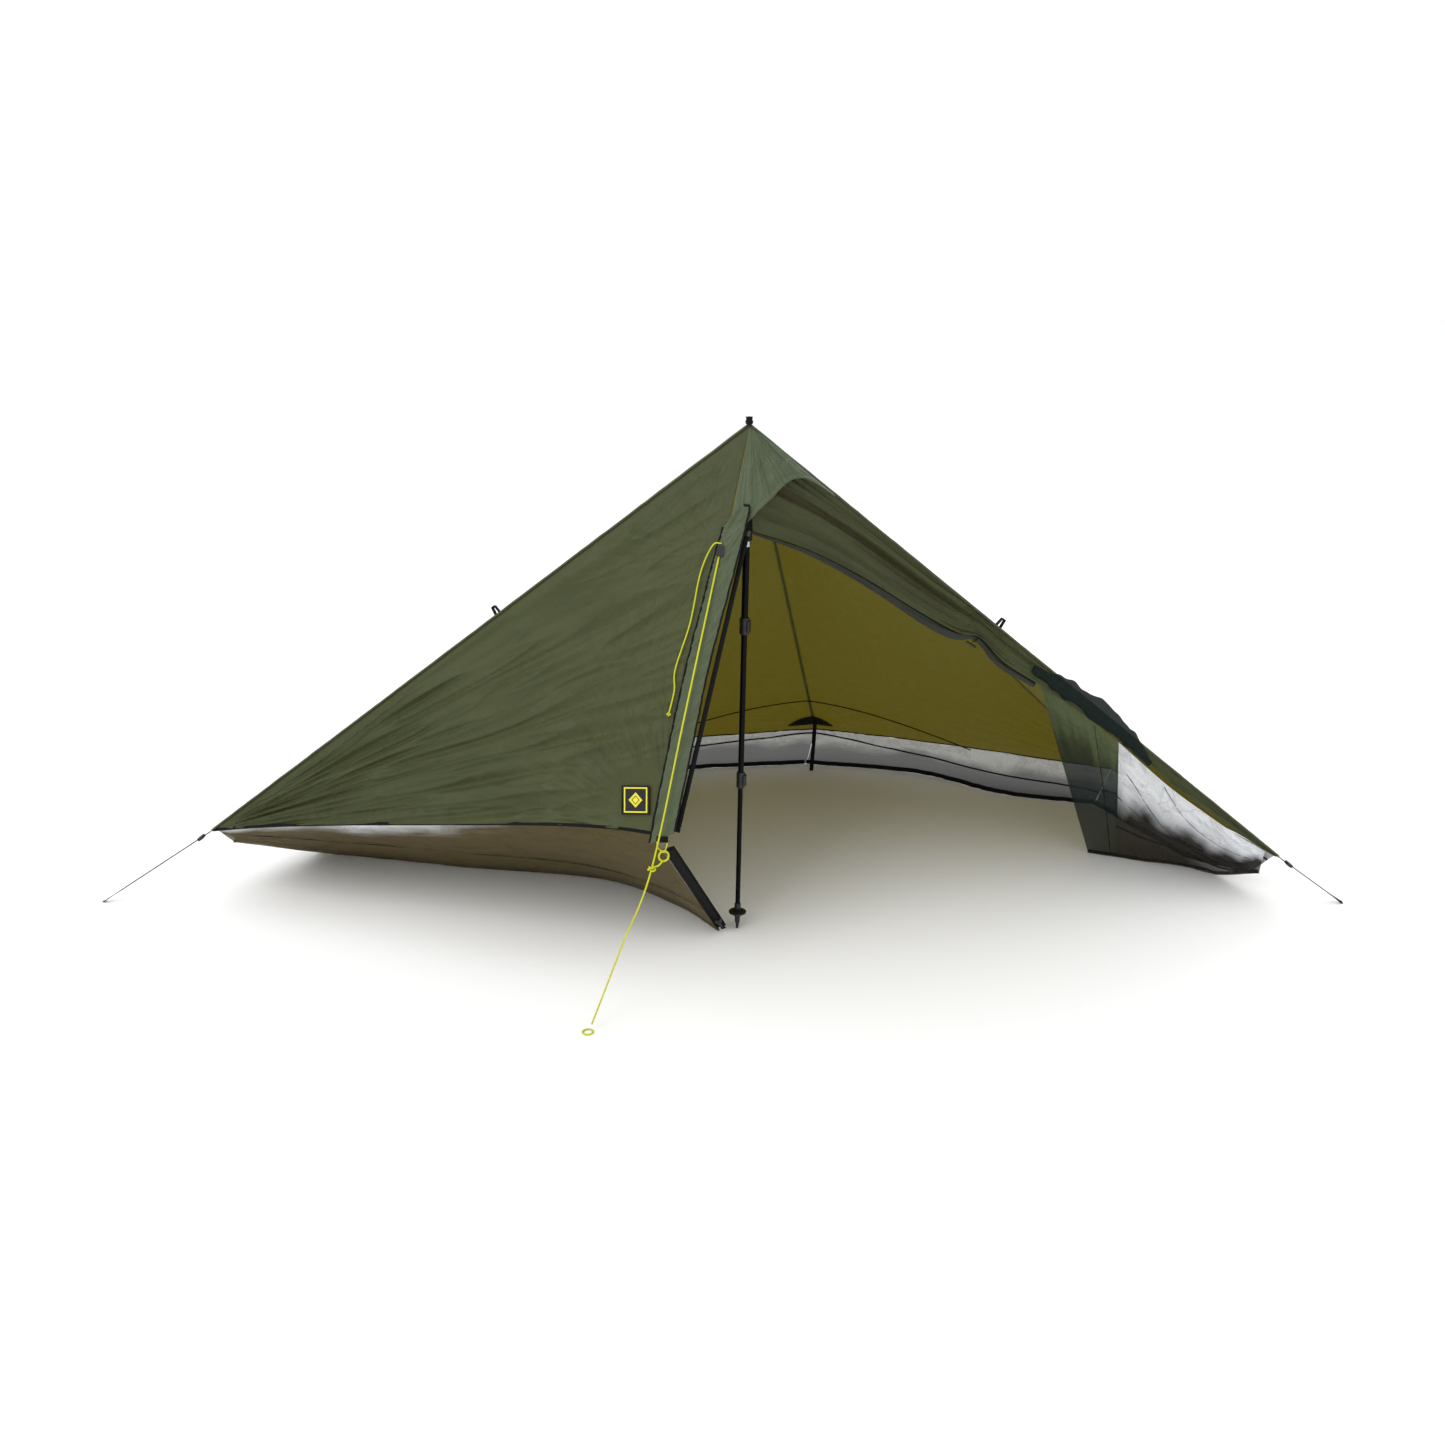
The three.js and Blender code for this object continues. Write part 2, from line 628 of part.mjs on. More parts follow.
add(
  "pole_tip",
  rodSolid([
    [0, 0], [POLE.tip.flat, 0], [4.5, 14], [6.2, 20], [6.2, 30], [POLE.tip.collar, 34], [POLE.tip.collar, 40],
    [6.6, 43], [6.6, 50], [POLE.tip.collar, 53], [POLE.tip.collar, POLE.tip.length], [0, POLE.tip.length],
  ]),
  "plastic",
  pole,
);
add(
  "pole_basket",
  turned([
    [7.2, 44], [POLE.basket.radius, POLE.basket.height - 2],
    [POLE.basket.radius, 48], [10, 49.4], [7.2, 49.4],
  ]),
  "plastic",
  pole,
);
const lowerRod = rod(POLE.lower.radius, POLE.tip.length + PART_GAP, POLE.lower.top);
add("lower_shaft", rodSolid(lowerRod), "shaft", pole);
add(
  "middle_shaft",
  turned(tube(POLE.middle.radius, POLE.middle.bore, POLE.middle.bottom, POLE.middle.top)),
  "shaft",
  pole,
);
add(
  "upper_shaft",
  turned(tube(POLE.upper.radius, POLE.upper.bore, POLE.upper.bottom, POLE.upper.top)),
  "shaft",
  pole,
);

// A clamp collar round the end of a tube, with its lever hinged along the pole.
function lock(prefix, tubeRadius, bottom) {
  const inner = tubeRadius + PART_GAP;
  const outer = inner + POLE.lock.wall;
  const top = bottom + POLE.lock.length;
  add(
    prefix + "_lock",
    turned([
      [inner, bottom], [outer - 1, bottom], [outer, bottom + 3],
      [outer, top - 3], [outer - 1, top], [inner, top],
    ]),
    "plastic",
    pole,
  );
  const reach = outer + PART_GAP;
  const lever = new THREE.Shape();
  lever.absarc(0, 0, reach, -0.35 * Math.PI, 0.35 * Math.PI, false);
  lever.absarc(0, 0, reach + 3.2, 0.35 * Math.PI, -0.35 * Math.PI, true);
  const hinge = new THREE.Vector2(reach + 1.6, 0).rotateAround(new THREE.Vector2(), 0.35 * Math.PI);
  const mesh = add(
    prefix + "_lever",
    new THREE.ExtrudeGeometry(lever, { depth: POLE.lock.length - 14, bevelEnabled: false, curveSegments: 10 })
      .translate(-hinge.x, -hinge.y, 0),
    "plastic",
    pole,
  );
  mesh.position.set(hinge.x, hinge.y, bottom + 7);
}
lock("upper", POLE.upper.radius, 768);
lock("lower", POLE.middle.radius, 382);

const gripBore = POLE.upper.radius + PART_GAP;
add("grip_ferrule", turned(tube(10.5, gripBore, 976, POLE.grip.bottom - PART_GAP)), "steel", pole);
add(
  "pole_grip",
  rodSolid([
    [gripBore, POLE.grip.bottom], [12.5, POLE.grip.bottom],
    [POLE.grip.radius - 1, 1010], [POLE.grip.radius - 1, 1090], [POLE.grip.radius, 1100],
    [12.5, 1130], [POLE.grip.radius, 1150], [11, 1176], [7, 1196], [3.5, POLE.grip.top],
    [0, POLE.grip.top], [0, POLE.upper.top + PART_GAP], [gripBore, POLE.upper.top + PART_GAP],
    [gripBore, POLE.grip.bottom],
  ]),
  "foam",
  pole,
);

// ---------------------------------------------------------------- placing

// The footprint's middle becomes the origin; the free guyline pieces aren't counted in it.
const LOOSE = ["front_guyline", "guyline_tail", "guyline_knot", "guyline_stake_loop"];
const footprint = new THREE.Box3();
shelter.updateMatrixWorld(true);
for (const mesh of shelter.getObjectsByProperty("isMesh", true))
  if (!LOOSE.includes(mesh.name)) footprint.expandByObject(mesh, true);
const middle = footprint.getCenter(new THREE.Vector3());
shelter.position.set(-middle.x, -middle.y, 0);

export default shelter;
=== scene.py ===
"""A one-pole pyramid shelter: nylon canopy, vent hood, rolled door, mosquito nets, guyline and pole.

Every length is in metres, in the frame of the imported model. Points are set out from the pole's tip by at().
"""

import bmesh
import bpy
import numpy as np
from bpy.props import FloatProperty, FloatVectorProperty, PointerProperty
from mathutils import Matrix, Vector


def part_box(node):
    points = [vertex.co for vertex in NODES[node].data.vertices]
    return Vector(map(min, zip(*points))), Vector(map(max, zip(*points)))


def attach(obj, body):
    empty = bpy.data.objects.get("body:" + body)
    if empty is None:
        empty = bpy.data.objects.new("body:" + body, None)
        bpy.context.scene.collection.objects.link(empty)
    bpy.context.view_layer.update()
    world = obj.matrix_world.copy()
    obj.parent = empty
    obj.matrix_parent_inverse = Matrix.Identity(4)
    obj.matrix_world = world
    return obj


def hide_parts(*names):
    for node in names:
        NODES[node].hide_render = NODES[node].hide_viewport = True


bl_info = {
    "name": "Pyramid Shelter",
    "version": (1, 0, 0),
    "blender": (4, 5, 0),
    "location": "3D View > Sidebar > Shelter",
    "description": "Builds a one-pole pyramid tent with nets, cords and a trekking pole",
    "category": "Add Mesh",
}

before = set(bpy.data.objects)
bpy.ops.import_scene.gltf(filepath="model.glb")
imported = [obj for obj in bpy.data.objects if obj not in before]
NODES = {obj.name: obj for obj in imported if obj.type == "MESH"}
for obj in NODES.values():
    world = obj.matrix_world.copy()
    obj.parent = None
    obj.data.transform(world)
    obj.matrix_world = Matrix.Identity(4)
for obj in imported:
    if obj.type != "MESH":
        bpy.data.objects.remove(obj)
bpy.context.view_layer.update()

# ---------------------------------------------------------------- where things are


def middle_of(node):
    """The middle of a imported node's box."""
    low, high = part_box(node)
    return (np.array(low) + np.array(high)) / 2


PEAK_HEIGHT = 1.250
PEAK_LEAN = 0.023
SHIFT = middle_of("peak_tab") * (1, 1, 0) - (PEAK_LEAN, 0, 0)


def at(x, y, z):
    """A point set out from the pole's tip."""
    return np.array((x, y, z), float) + SHIFT


PEAK = at(PEAK_LEAN, 0, PEAK_HEIGHT)
LEFT_CORNER = at(-1.370, 0.160, 0.200)
RIGHT_CORNER = at(1.420, 0.150, 0.130)
FRONT_CORNER = at(-0.161, -0.250, 0.354)
REAR_LEFT = at(-1.020, 0.960, 0.100)
REAR_CENTRE = at(0.280, 1.215, 0.130)
REAR_RIGHT = at(1.200, 0.900, 0.100)
HEART = at(0.050, 0.350, 0.060)
FRONT_HEM_RISE = 0.032
HEM_RISE = 0.016
UP = np.array((0.0, 0.0, 1.0))


def unit(vector):
    """The vector, or each vector of an array, at length 1."""
    vector = np.asarray(vector, float)
    return vector / np.maximum(np.linalg.norm(vector, axis=-1, keepdims=True), 1e-12)


def outward(a, b, c):
    """The unit normal of the plane a, b, c, turned away from HEART."""
    normal = unit(np.cross(b - a, c - a))
    return normal if normal @ (a - HEART) > 0 else -normal


LEFT_FRONT_OUT = outward(PEAK, LEFT_CORNER, FRONT_CORNER)
DOOR_OUT = outward(PEAK, RIGHT_CORNER, FRONT_CORNER)


def left_front(left, front, lift=0.0):
    """Points of the left front panel: shares of the way to its two corners, then a lift off its plane."""
    left, front, lift = np.broadcast_arrays(left, front, lift)
    to_left, to_front = LEFT_CORNER - PEAK, FRONT_CORNER - PEAK
    return PEAK + left[..., None] * to_left + front[..., None] * to_front + lift[..., None] * LEFT_FRONT_OUT


def door_side(along, front, lift=0.0):
    """Points of the door side: a share down the right ridge, a share towards the front corner, a lift."""
    along, front, lift = np.broadcast_arrays(along, front, lift)
    down, to_front = RIGHT_CORNER - PEAK, FRONT_CORNER - PEAK
    return PEAK + along[..., None] * down + front[..., None] * to_front + lift[..., None] * DOOR_OUT


# ---------------------------------------------------------------- curves, noise and folds


def blend_between(a, b, share):
    """Straight interpolation, with the share on a new last axis."""
    return a + (b - a) * np.asarray(share)[..., None]


def eased(x, low, high):
    """0 below low, 1 above high, and a smoothstep between them."""
    t = np.clip((np.asarray(x, float) - low) / (high - low), 0, 1)
    return t * t * (3 - 2 * t)


def smooth_line(points, count):
    """A Catmull-Rom curve through the points, as count points evenly spaced in the points' own parameter."""
    p = np.asarray(points, float)
    p = np.vstack([2 * p[0] - p[1], p, 2 * p[-1] - p[-2]])
    t = np.linspace(0, len(p) - 3, count)
    k = np.minimum(t.astype(int), len(p) - 4)
    f = (t - k)[:, None]
    a, b, c, d = p[k], p[k + 1], p[k + 2], p[k + 3]
    return 0.5 * (2 * b + (c - a) * f + (2 * a - 5 * b + 4 * c - d) * f**2 + (3 * b - a - 3 * c + d) * f**3)


def measured(line):
    """The distance along a line of points, from its first one."""
    return np.concatenate([[0], np.cumsum(np.linalg.norm(np.diff(line, axis=0), axis=1))])


def noise(x, y, seed):
    """Gradient noise from about -1 to 1: random slopes on a unit lattice, blended by a quintic."""
    slopes = np.random.default_rng(seed).uniform(0, 2 * np.pi, (256, 256))
    x, y = np.broadcast_arrays(np.asarray(x, float), np.asarray(y, float))
    i, j = np.floor(x).astype(int), np.floor(y).astype(int)
    fx, fy = x - i, y - j

    def corner(di, dj):
        turn = slopes[(i + di) % 256, (j + dj) % 256]
        return np.cos(turn) * (fx - di) + np.sin(turn) * (fy - dj)

    wx, wy = (f**3 * (f * (f * 6 - 15) + 10) for f in (fx, fy))
    low = corner(0, 0) + wx * (corner(1, 0) - corner(0, 0))
    high = corner(0, 1) + wx * (corner(1, 1) - corner(0, 1))
    return 1.5 * (low + wy * (high - low))


def folds(x, y, seed):
    """Cloth folds: soft noise with sharp crests where it crosses zero."""
    soft = noise(x, y, seed)
    crest = 1 - np.sqrt(np.abs(noise(x * 1.3 + 11, y * 1.3, seed + 1)) * 1.3 + 0.01)
    return 0.55 * soft + 0.6 * crest


def fan(points, origin, toward, facing, count, seed):
    """Folds that fan out of a point: folds in the angle about it, changing slowly with the distance."""
    toward = unit(toward)
    side = np.cross(facing, toward)
    d = points - origin
    distance = np.linalg.norm(d, axis=-1)
    angle = np.arctan2(d @ side, d @ toward)
    return folds(angle * count + 40, distance * 2.3 + 3, seed), distance


def crumple(points, along, facing, scale, stretch, seed):
    """Creases with no centre, longer along one direction: two octaves of folds on the sheet's own plane."""
    along = unit(along)
    side = np.cross(facing, along)
    x, y = points @ side / scale, points @ along / (scale * stretch)
    return folds(x, y, seed) + 0.45 * folds(x * 2.1 + y * 0.4, y * 2.3 - x * 0.3, seed + 5)


# ---------------------------------------------------------------- meshes


def skin(name, grid, material, around=False, caps=False, facing=None, chart=None, painted_lighting=None):
    """A grid of points as one smooth mesh, with a UV map in metres.

    The rows are joined by quads; around closes each row on itself and caps closes the two ends. facing is
    the way an open sheet looks. chart holds UVs of its own, and painted_lighting a share of painted light and
    shade at each point.
    """
    grid = np.asarray(grid, float)
    rows, cols = grid.shape[:2]
    span = cols if around else cols - 1
    i, j = np.meshgrid(np.arange(rows - 1), np.arange(span), indexing="ij")
    ring = np.stack([i, i, i + 1, i + 1], -1).reshape(-1, 4)
    spot = np.stack([j, j + 1, j + 1, j], -1).reshape(-1, 4)
    if facing is not None:
        normal = np.cross(grid[0, -1] - grid[0, 0] + grid[-1, -1] - grid[-1, 0], grid[-1, 0] - grid[0, 0])
        if normal @ np.asarray(facing) < 0:
            ring, spot = ring[:, ::-1], spot[:, ::-1]
    faces = (ring * cols + spot % cols).tolist()
    closed = np.concatenate([grid, grid[:, :1]], 1) if around else grid
    across = np.concatenate([[0], np.cumsum(np.linalg.norm(np.diff(closed, axis=1), axis=2).mean(0))])
    down = np.concatenate([[0], np.cumsum(np.linalg.norm(np.diff(grid, axis=0), axis=2).mean(1))])
    uv = np.stack([across[spot], down[ring]], -1) if chart is None else np.asarray(chart)[ring, spot]
    uv = uv.reshape(-1, 2)
    if caps:
        faces += [list(range(cols)), list(range((rows - 1) * cols, rows * cols))]
        uv = np.vstack([uv, np.zeros((2 * cols, 2))])
    mesh = bpy.data.meshes.new(name)
    mesh.from_pydata(grid.reshape(-1, 3), [], faces)
    mesh.uv_layers.new(name="cloth").data.foreach_set("uv", uv.ravel())
    values = np.zeros(rows * cols) if painted_lighting is None else np.broadcast_to(painted_lighting, (rows, cols)).ravel()
    mesh.attributes.new("painted_lighting", "FLOAT", "POINT").data.foreach_set("value", values.astype(np.float32))
    if around:
        turned_out = bmesh.new()
        turned_out.from_mesh(mesh)
        bmesh.ops.remove_doubles(turned_out, verts=turned_out.verts, dist=1e-7)
        bmesh.ops.recalc_face_normals(turned_out, faces=turned_out.faces)
        turned_out.to_mesh(mesh)
        turned_out.free()
    mesh.shade_smooth()
    mesh.materials.append(material)
    piece = bpy.data.objects.new(name, mesh)
    bpy.context.scene.collection.objects.link(piece)
    return piece


def swept(name, line, width, height, across, material, square=1.0, sides=12, painted_lighting=None):
    """A closed profile carried along a line: an ellipse, or a flat band with round edges as square nears 0.

    across is the way the width points, one vector or one at each point; width and height may change too.
    """
    line = np.asarray(line, float)
    tangent = unit(np.gradient(line, axis=0))
    across = np.broadcast_to(np.asarray(across, float), line.shape)
    across = unit(across - (across * tangent).sum(1, keepdims=True) * tangent)
    rise = np.cross(tangent, across)
    turn = np.linspace(0, 2 * np.pi, sides, endpoint=False)
    x = np.sign(np.cos(turn)) * np.abs(np.cos(turn)) ** square
    y = np.sign(np.sin(turn)) * np.abs(np.sin(turn)) ** square
    width = np.broadcast_to(width, len(line))[:, None, None] / 2
    height = np.broadcast_to(height, len(line))[:, None, None] / 2
    sideways = width * x[None, :, None] * across[:, None]
    grid = line[:, None] + sideways + height * y[None, :, None] * rise[:, None]
    return skin(name, grid, material, around=True, caps=True, painted_lighting=painted_lighting)


def turned(name, profile, foot, axis, material, sides=36):
    """Pairs of (radius, height) turned round an axis, ends closed unless the profile closes on itself."""
    axis = unit(axis)
    side = unit(np.cross(axis, (0, 1, 0)))
    other = np.cross(axis, side)
    turn = np.linspace(0, 2 * np.pi, sides, endpoint=False)
    radius, height = np.asarray(profile, float).T
    ring = np.cos(turn)[:, None] * side + np.sin(turn)[:, None] * other
    grid = foot + height[:, None, None] * axis + radius[:, None, None] * ring
    return skin(name, grid, material, around=True, caps=bool(np.abs(profile[0] - profile[-1]).max() > 0))


def settle(piece, body, slot, *nodes):
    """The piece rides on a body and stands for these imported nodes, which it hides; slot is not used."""
    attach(piece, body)
    if nodes:
        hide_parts(*nodes)
    return piece


# ---------------------------------------------------------------- materials


def linear(hex_colour):
    """An sRGB hex colour as linear red, green, blue and an alpha of 1."""
    c = np.array([int(hex_colour[k : k + 2], 16) for k in (1, 3, 5)]) / 255
    c = np.where(c <= 0.04045, c / 12.92, ((c + 0.055) / 1.055) ** 2.4)
    return (*c.tolist(), 1.0)


def darker(colour, share):
    """A linear colour at a share of its brightness."""
    return (*(share * c for c in colour[:3]), 1.0)


def add(tree, kind, inputs=None, **settings):
    """One node of a kind, with its settings and with values or links put on its inputs."""
    made = tree.nodes.new(kind)
    for key, value in settings.items():
        setattr(made, key, value)
    for key, value in (inputs or {}).items():
        if isinstance(value, bpy.types.NodeSocket):
            tree.links.new(value, made.inputs[key])
        else:
            made.inputs[key].default_value = value
    return made


def blank(name):
    """A new material's name, tree and output."""
    material = bpy.data.materials.new(name)
    material.use_nodes = True
    material.node_tree.nodes.clear()
    return material, material.node_tree, material.node_tree.nodes.new("ShaderNodeOutputMaterial")


def once(make):
    """Keeps each material by its name, so that a second call gives back the first one's."""
    made = {}

    def kept(name, *settings, **named):
        if name not in made:
            made[name] = make(name, *settings, **named)
        return made[name]

    return kept


@once
def coated_nylon(name, face, glow_share=0.35):
    """Silicone-coated ripstop nylon, woven and then coated: a soft wet-looking sheen over fine creases.

    The 5 mm ripstop grid is a faint net of thicker threads, light comes through it in a warmer olive,
    and where painted_lighting is 1 the cloth takes the shade colour: painted shade under the hood and in its
    fold hollows.
    """
    material, tree, output = blank(name)
    uv = add(tree, "ShaderNodeTexCoord").outputs["UV"]
    painted_lighting = add(tree, "ShaderNodeAttribute", attribute_name="painted_lighting").outputs["Fac"]
    cloud = add(tree, "ShaderNodeTexNoise", {"Vector": uv, "Scale": 3.0, "Detail": 6.0, "Roughness": 0.6})
    fresh = add(
        tree, "ShaderNodeMix",
        {"Factor": cloud.outputs["Fac"], "A": tint(face), "B": darker(tint(face), 0.6)},
        data_type="RGBA",
    )
    # Painted shade: the cloth's colour goes to the shade colour where painted_lighting is 1.
    colour = add(
        tree, "ShaderNodeMix", {"Factor": painted_lighting, "A": fresh.outputs["Result"], "B": tint("shade")},
        data_type="RGBA",
    )
    threads = []
    for direction in ("X", "Y"):
        threads.append(
            add(
                tree, "ShaderNodeTexWave", {"Vector": uv, "Scale": 62.8, "Distortion": 0.0},
                wave_type="BANDS", bands_direction=direction,
            ).outputs["Fac"],
        )
    grid = add(tree, "ShaderNodeMath", {0: threads[0], 1: threads[1]}, operation="MAXIMUM").outputs[0]
    grid = add(tree, "ShaderNodeMath", {0: grid, 1: 12.0}, operation="POWER").outputs[0]
    creases = add(
        tree, "ShaderNodeTexNoise",
        {"Vector": uv, "Scale": 26.0, "Detail": 6.0, "Roughness": 0.62, "Distortion": 0.6},
    )
    veins = add(tree, "ShaderNodeMath", {0: creases.outputs["Fac"], 1: 0.5}, operation="SUBTRACT").outputs[0]
    veins = add(tree, "ShaderNodeMath", {0: veins}, operation="ABSOLUTE").outputs[0]
    height = add(
        tree, "ShaderNodeMath", {0: grid, 1: 0.05, 2: veins}, operation="MULTIPLY_ADD",
    ).outputs[0]
    bump = add(tree, "ShaderNodeBump", {"Height": height, "Strength": 0.5, "Distance": 0.006})
    rough = add(
        tree, "ShaderNodeMapRange",
        {"Value": creases.outputs["Fac"], "From Min": 0.3, "From Max": 0.7, "To Min": 0.4, "To Max": 0.56},
    )
    cloth = add(
        tree, "ShaderNodeBsdfPrincipled",
        {"Base Color": colour.outputs["Result"], "Roughness": rough.outputs["Result"],
         "Normal": bump.outputs["Normal"],
         "Specular IOR Level": 0.42, "Sheen Weight": 0.12, "Sheen Roughness": 0.4},
    )
    through = add(
        tree, "ShaderNodeBsdfTranslucent", {"Color": tint("glow"), "Normal": bump.outputs["Normal"]},
    )
    both = add(
        tree, "ShaderNodeMixShader",
        {"Fac": glow_share, 1: cloth.outputs["BSDF"], 2: through.outputs["BSDF"]},
    )
    tree.links.new(both.outputs["Shader"], output.inputs["Surface"])
    return material


@once
def netting(name, dark, light, cover):
    """Knitted polyester mosquito mesh: a dull veil with no gloss, paler where daylight falls on it.

    The 1.2 mm holes are too fine to show, so the cover is even, and a 4 mm knit shows in the colour.
    """
    material, tree, output = blank(name)
    uv = add(tree, "ShaderNodeTexCoord").outputs["UV"]
    painted_lighting = add(tree, "ShaderNodeAttribute", attribute_name="painted_lighting").outputs["Fac"]
    knit = add(tree, "ShaderNodeTexVoronoi", {"Vector": uv, "Scale": 250.0}, feature="DISTANCE_TO_EDGE")
    creases = add(
        tree, "ShaderNodeTexNoise",
        {"Vector": uv, "Scale": 9.0, "Detail": 4.0, "Roughness": 0.55, "Distortion": 1.2},
    )
    lines = add(tree, "ShaderNodeMath", {0: creases.outputs["Fac"], 1: 0.5}, operation="SUBTRACT").outputs[0]
    lines = add(tree, "ShaderNodeMath", {0: lines}, operation="ABSOLUTE").outputs[0]
    clear = add(
        tree, "ShaderNodeMapRange",
        {"Value": lines, "From Min": 0.0, "From Max": 0.05, "To Min": 0.8, "To Max": 1.0},
    ).outputs["Result"]
    # Painted daylight: painted_lighting mixes the dark netting towards its pale colour.
    plain = add(tree, "ShaderNodeMix", {"Factor": painted_lighting, "A": tint(dark), "B": tint(light)}, data_type="RGBA")
    threads = add(
        tree, "ShaderNodeMapRange",
        {"Value": knit.outputs["Distance"], "From Min": 0.0, "From Max": 0.2, "To Min": 1.0, "To Max": 0.75},
    ).outputs["Result"]
    # Painted shade: clear darkens the colour along the crease lines; threads is the knit's own pattern.
    shade = add(tree, "ShaderNodeMath", {0: threads, 1: clear}, operation="MULTIPLY").outputs[0]
    colour = add(
        tree, "ShaderNodeMix", {"Factor": 1.0, "A": plain.outputs["Result"], "B": shade},
        data_type="RGBA", blend_type="MULTIPLY",
    )
    bump = add(tree, "ShaderNodeBump", {"Height": lines, "Strength": 0.4, "Distance": 0.006})
    mesh = add(
        tree, "ShaderNodeBsdfPrincipled",
        {"Base Color": colour.outputs["Result"], "Roughness": 0.82, "Alpha": cover,
         "Normal": bump.outputs["Normal"],
         "Specular IOR Level": 0.2},
    )
    tree.links.new(mesh.outputs["BSDF"], output.inputs["Surface"])
    return material


@once
def woven(name, colour, rib=0.0022, roughness=0.72):
    """Polyamide webbing or braid: dull, with ribs that cross it at the pitch of its weave."""
    material, tree, output = blank(name)
    uv = add(tree, "ShaderNodeTexCoord").outputs["UV"]
    ribs = add(
        tree, "ShaderNodeTexWave", {"Vector": uv, "Scale": 0.314 / rib, "Distortion": 0.4, "Detail": 1.0},
        wave_type="BANDS", bands_direction="DIAGONAL",
    ).outputs["Fac"]
    dust = add(tree, "ShaderNodeTexNoise", {"Vector": uv, "Scale": 60.0, "Detail": 4.0}).outputs["Fac"]
    mixed = add(tree, "ShaderNodeMath", {0: ribs, 1: dust}, operation="MULTIPLY").outputs[0]
    varied = add(
        tree, "ShaderNodeMix",
        {"Factor": mixed, "A": darker(tint(colour), 0.6), "B": tint(colour)},
        data_type="RGBA",
    )
    bump = add(tree, "ShaderNodeBump", {"Height": ribs, "Strength": 0.6, "Distance": 0.0006})
    face = add(
        tree, "ShaderNodeBsdfPrincipled",
        {"Base Color": varied.outputs["Result"], "Roughness": roughness, "Normal": bump.outputs["Normal"],
         "Specular IOR Level": 0.25},
    )
    tree.links.new(face.outputs["BSDF"], output.inputs["Surface"])
    return material


@once
def hard(name, colour, roughness, metallic=0.0, grain=0.004, depth=0.0002, coat=0.0):
    """A hard or foamed surface by Object coordinates: a grain of a real size, and faint wear in its gloss."""
    material, tree, output = blank(name)
    place = add(tree, "ShaderNodeTexCoord").outputs["Object"]
    pits = add(
        tree, "ShaderNodeTexNoise", {"Vector": place, "Scale": 1 / grain, "Detail": 4.0},
    ).outputs["Fac"]
    rubs = add(tree, "ShaderNodeTexNoise", {"Vector": place, "Scale": 22.0, "Detail": 5.0}).outputs["Fac"]
    gloss = add(
        tree, "ShaderNodeMapRange",
        {
            "Value": rubs, "From Min": 0.3, "From Max": 0.7, "To Min": roughness - 0.07,
            "To Max": roughness + 0.09,
        },
    )
    varied = add(
        tree, "ShaderNodeMix",
        {"Factor": rubs, "A": linear(colour), "B": darker(linear(colour), 0.7)},
        data_type="RGBA",
    )
    bump = add(tree, "ShaderNodeBump", {"Height": pits, "Strength": 0.5, "Distance": depth})
    face = add(
        tree, "ShaderNodeBsdfPrincipled",
        {"Base Color": varied.outputs["Result"], "Roughness": gloss.outputs["Result"], "Metallic": metallic,
         "Normal": bump.outputs["Normal"], "Coat Weight": coat},
    )
    tree.links.new(face.outputs["BSDF"], output.inputs["Surface"])
    return material


# ---------------------------------------------------------------- settings a user would change


class ShelterSizes(bpy.types.PropertyGroup):
    """Sizes of the parts that are made here."""

    fold_depth: FloatProperty(
        name="Fold depth", description="How deep the canopy's folds are", default=1.0, min=0.0, max=2.0,
    )
    seam_width: FloatProperty(
        name="Seam width", description="Width of the felled ridge seams", default=0.009, unit="LENGTH",
    )
    hem_width: FloatProperty(
        name="Hem width", description="Width of the canopy's rolled hems", default=0.008, unit="LENGTH",
    )
    net_band: FloatProperty(
        name="Net band", description="Width of the black band along the nets' foot", default=0.015,
        unit="LENGTH",
    )
    line_diameter: FloatProperty(
        name="Guyline diameter", description="Diameter of the front guyline", default=0.004, unit="LENGTH",
    )
    tail_diameter: FloatProperty(
        name="Tail diameter", description="Diameter of the guyline's free tail", default=0.0034,
        unit="LENGTH",
    )


def colour_property(name, description, hex_colour):
    """A colour setting whose default is an sRGB hex colour."""
    return FloatVectorProperty(
        name=name, description=description, default=linear(hex_colour)[:3], size=3, subtype="COLOR", min=0,
        max=1,
    )


class ShelterColours(bpy.types.PropertyGroup):
    """Plain colours of the fabric and cord."""

    nylon: colour_property("Nylon", "Face colour of the canopy's coated nylon", "#525c36")
    hood: colour_property("Hood", "Face colour of the hood's and placket's nylon", "#566346")
    # Painted shade: the door side's cloth takes this colour under the hood and in its fold hollows.
    shade: colour_property("Shaded nylon", "Browner colour of the cloth in the hood's shade", "#2a2612")
    # Painted shade: far darker than the canopy nylon the door is made of, for the roll's shade under the
    # door-side cloth.
    rolled: colour_property(
        "Rolled door", "Face colour of the rolled door, cloth and netting together", "#1f2616",
    )
    glow: colour_property("Nylon glow", "Colour of the light that comes through the canopy", "#6a5d02")
    net_dark: colour_property("Net", "Colour of the netting in shade", "#221e17")
    net_pale: colour_property(
        "Net in daylight", "Colour of the netting where daylight falls on it", "#f2f5fa",
    )
    # Painted light: the left front net is the same dark netting, coloured tan-olive for the canopy's olive
    # light on it.
    net_left: colour_property("Left net", "Colour of the netting under the left front hem", "#564b2c")
    door_net: colour_property("Net door", "Colour of the hanging net door", "#0d1d1a")
    webbing: colour_property("Webbing", "Colour of the straps and tapes", "#0a0a0c")
    cord: colour_property("Cord", "Colour of the braided guyline", "#e2e427")
    floor: colour_property("Floor", "Colour of the plain floor", "#fbfbfa")


def tint(key):
    """A colour setting as linear red, green, blue and an alpha of 1."""
    return (*getattr(bpy.context.scene.shelter_colours, key), 1.0)


NYLON = ("nylon_coated_olive", "nylon")
HOOD_NYLON = ("nylon_coated_hood", "hood")
ROLLED_NYLON = ("nylon_coated_rolled_painted_shade", "rolled")
DARK_NET = ("netting_black", "net_dark", "net_pale", 0.9)
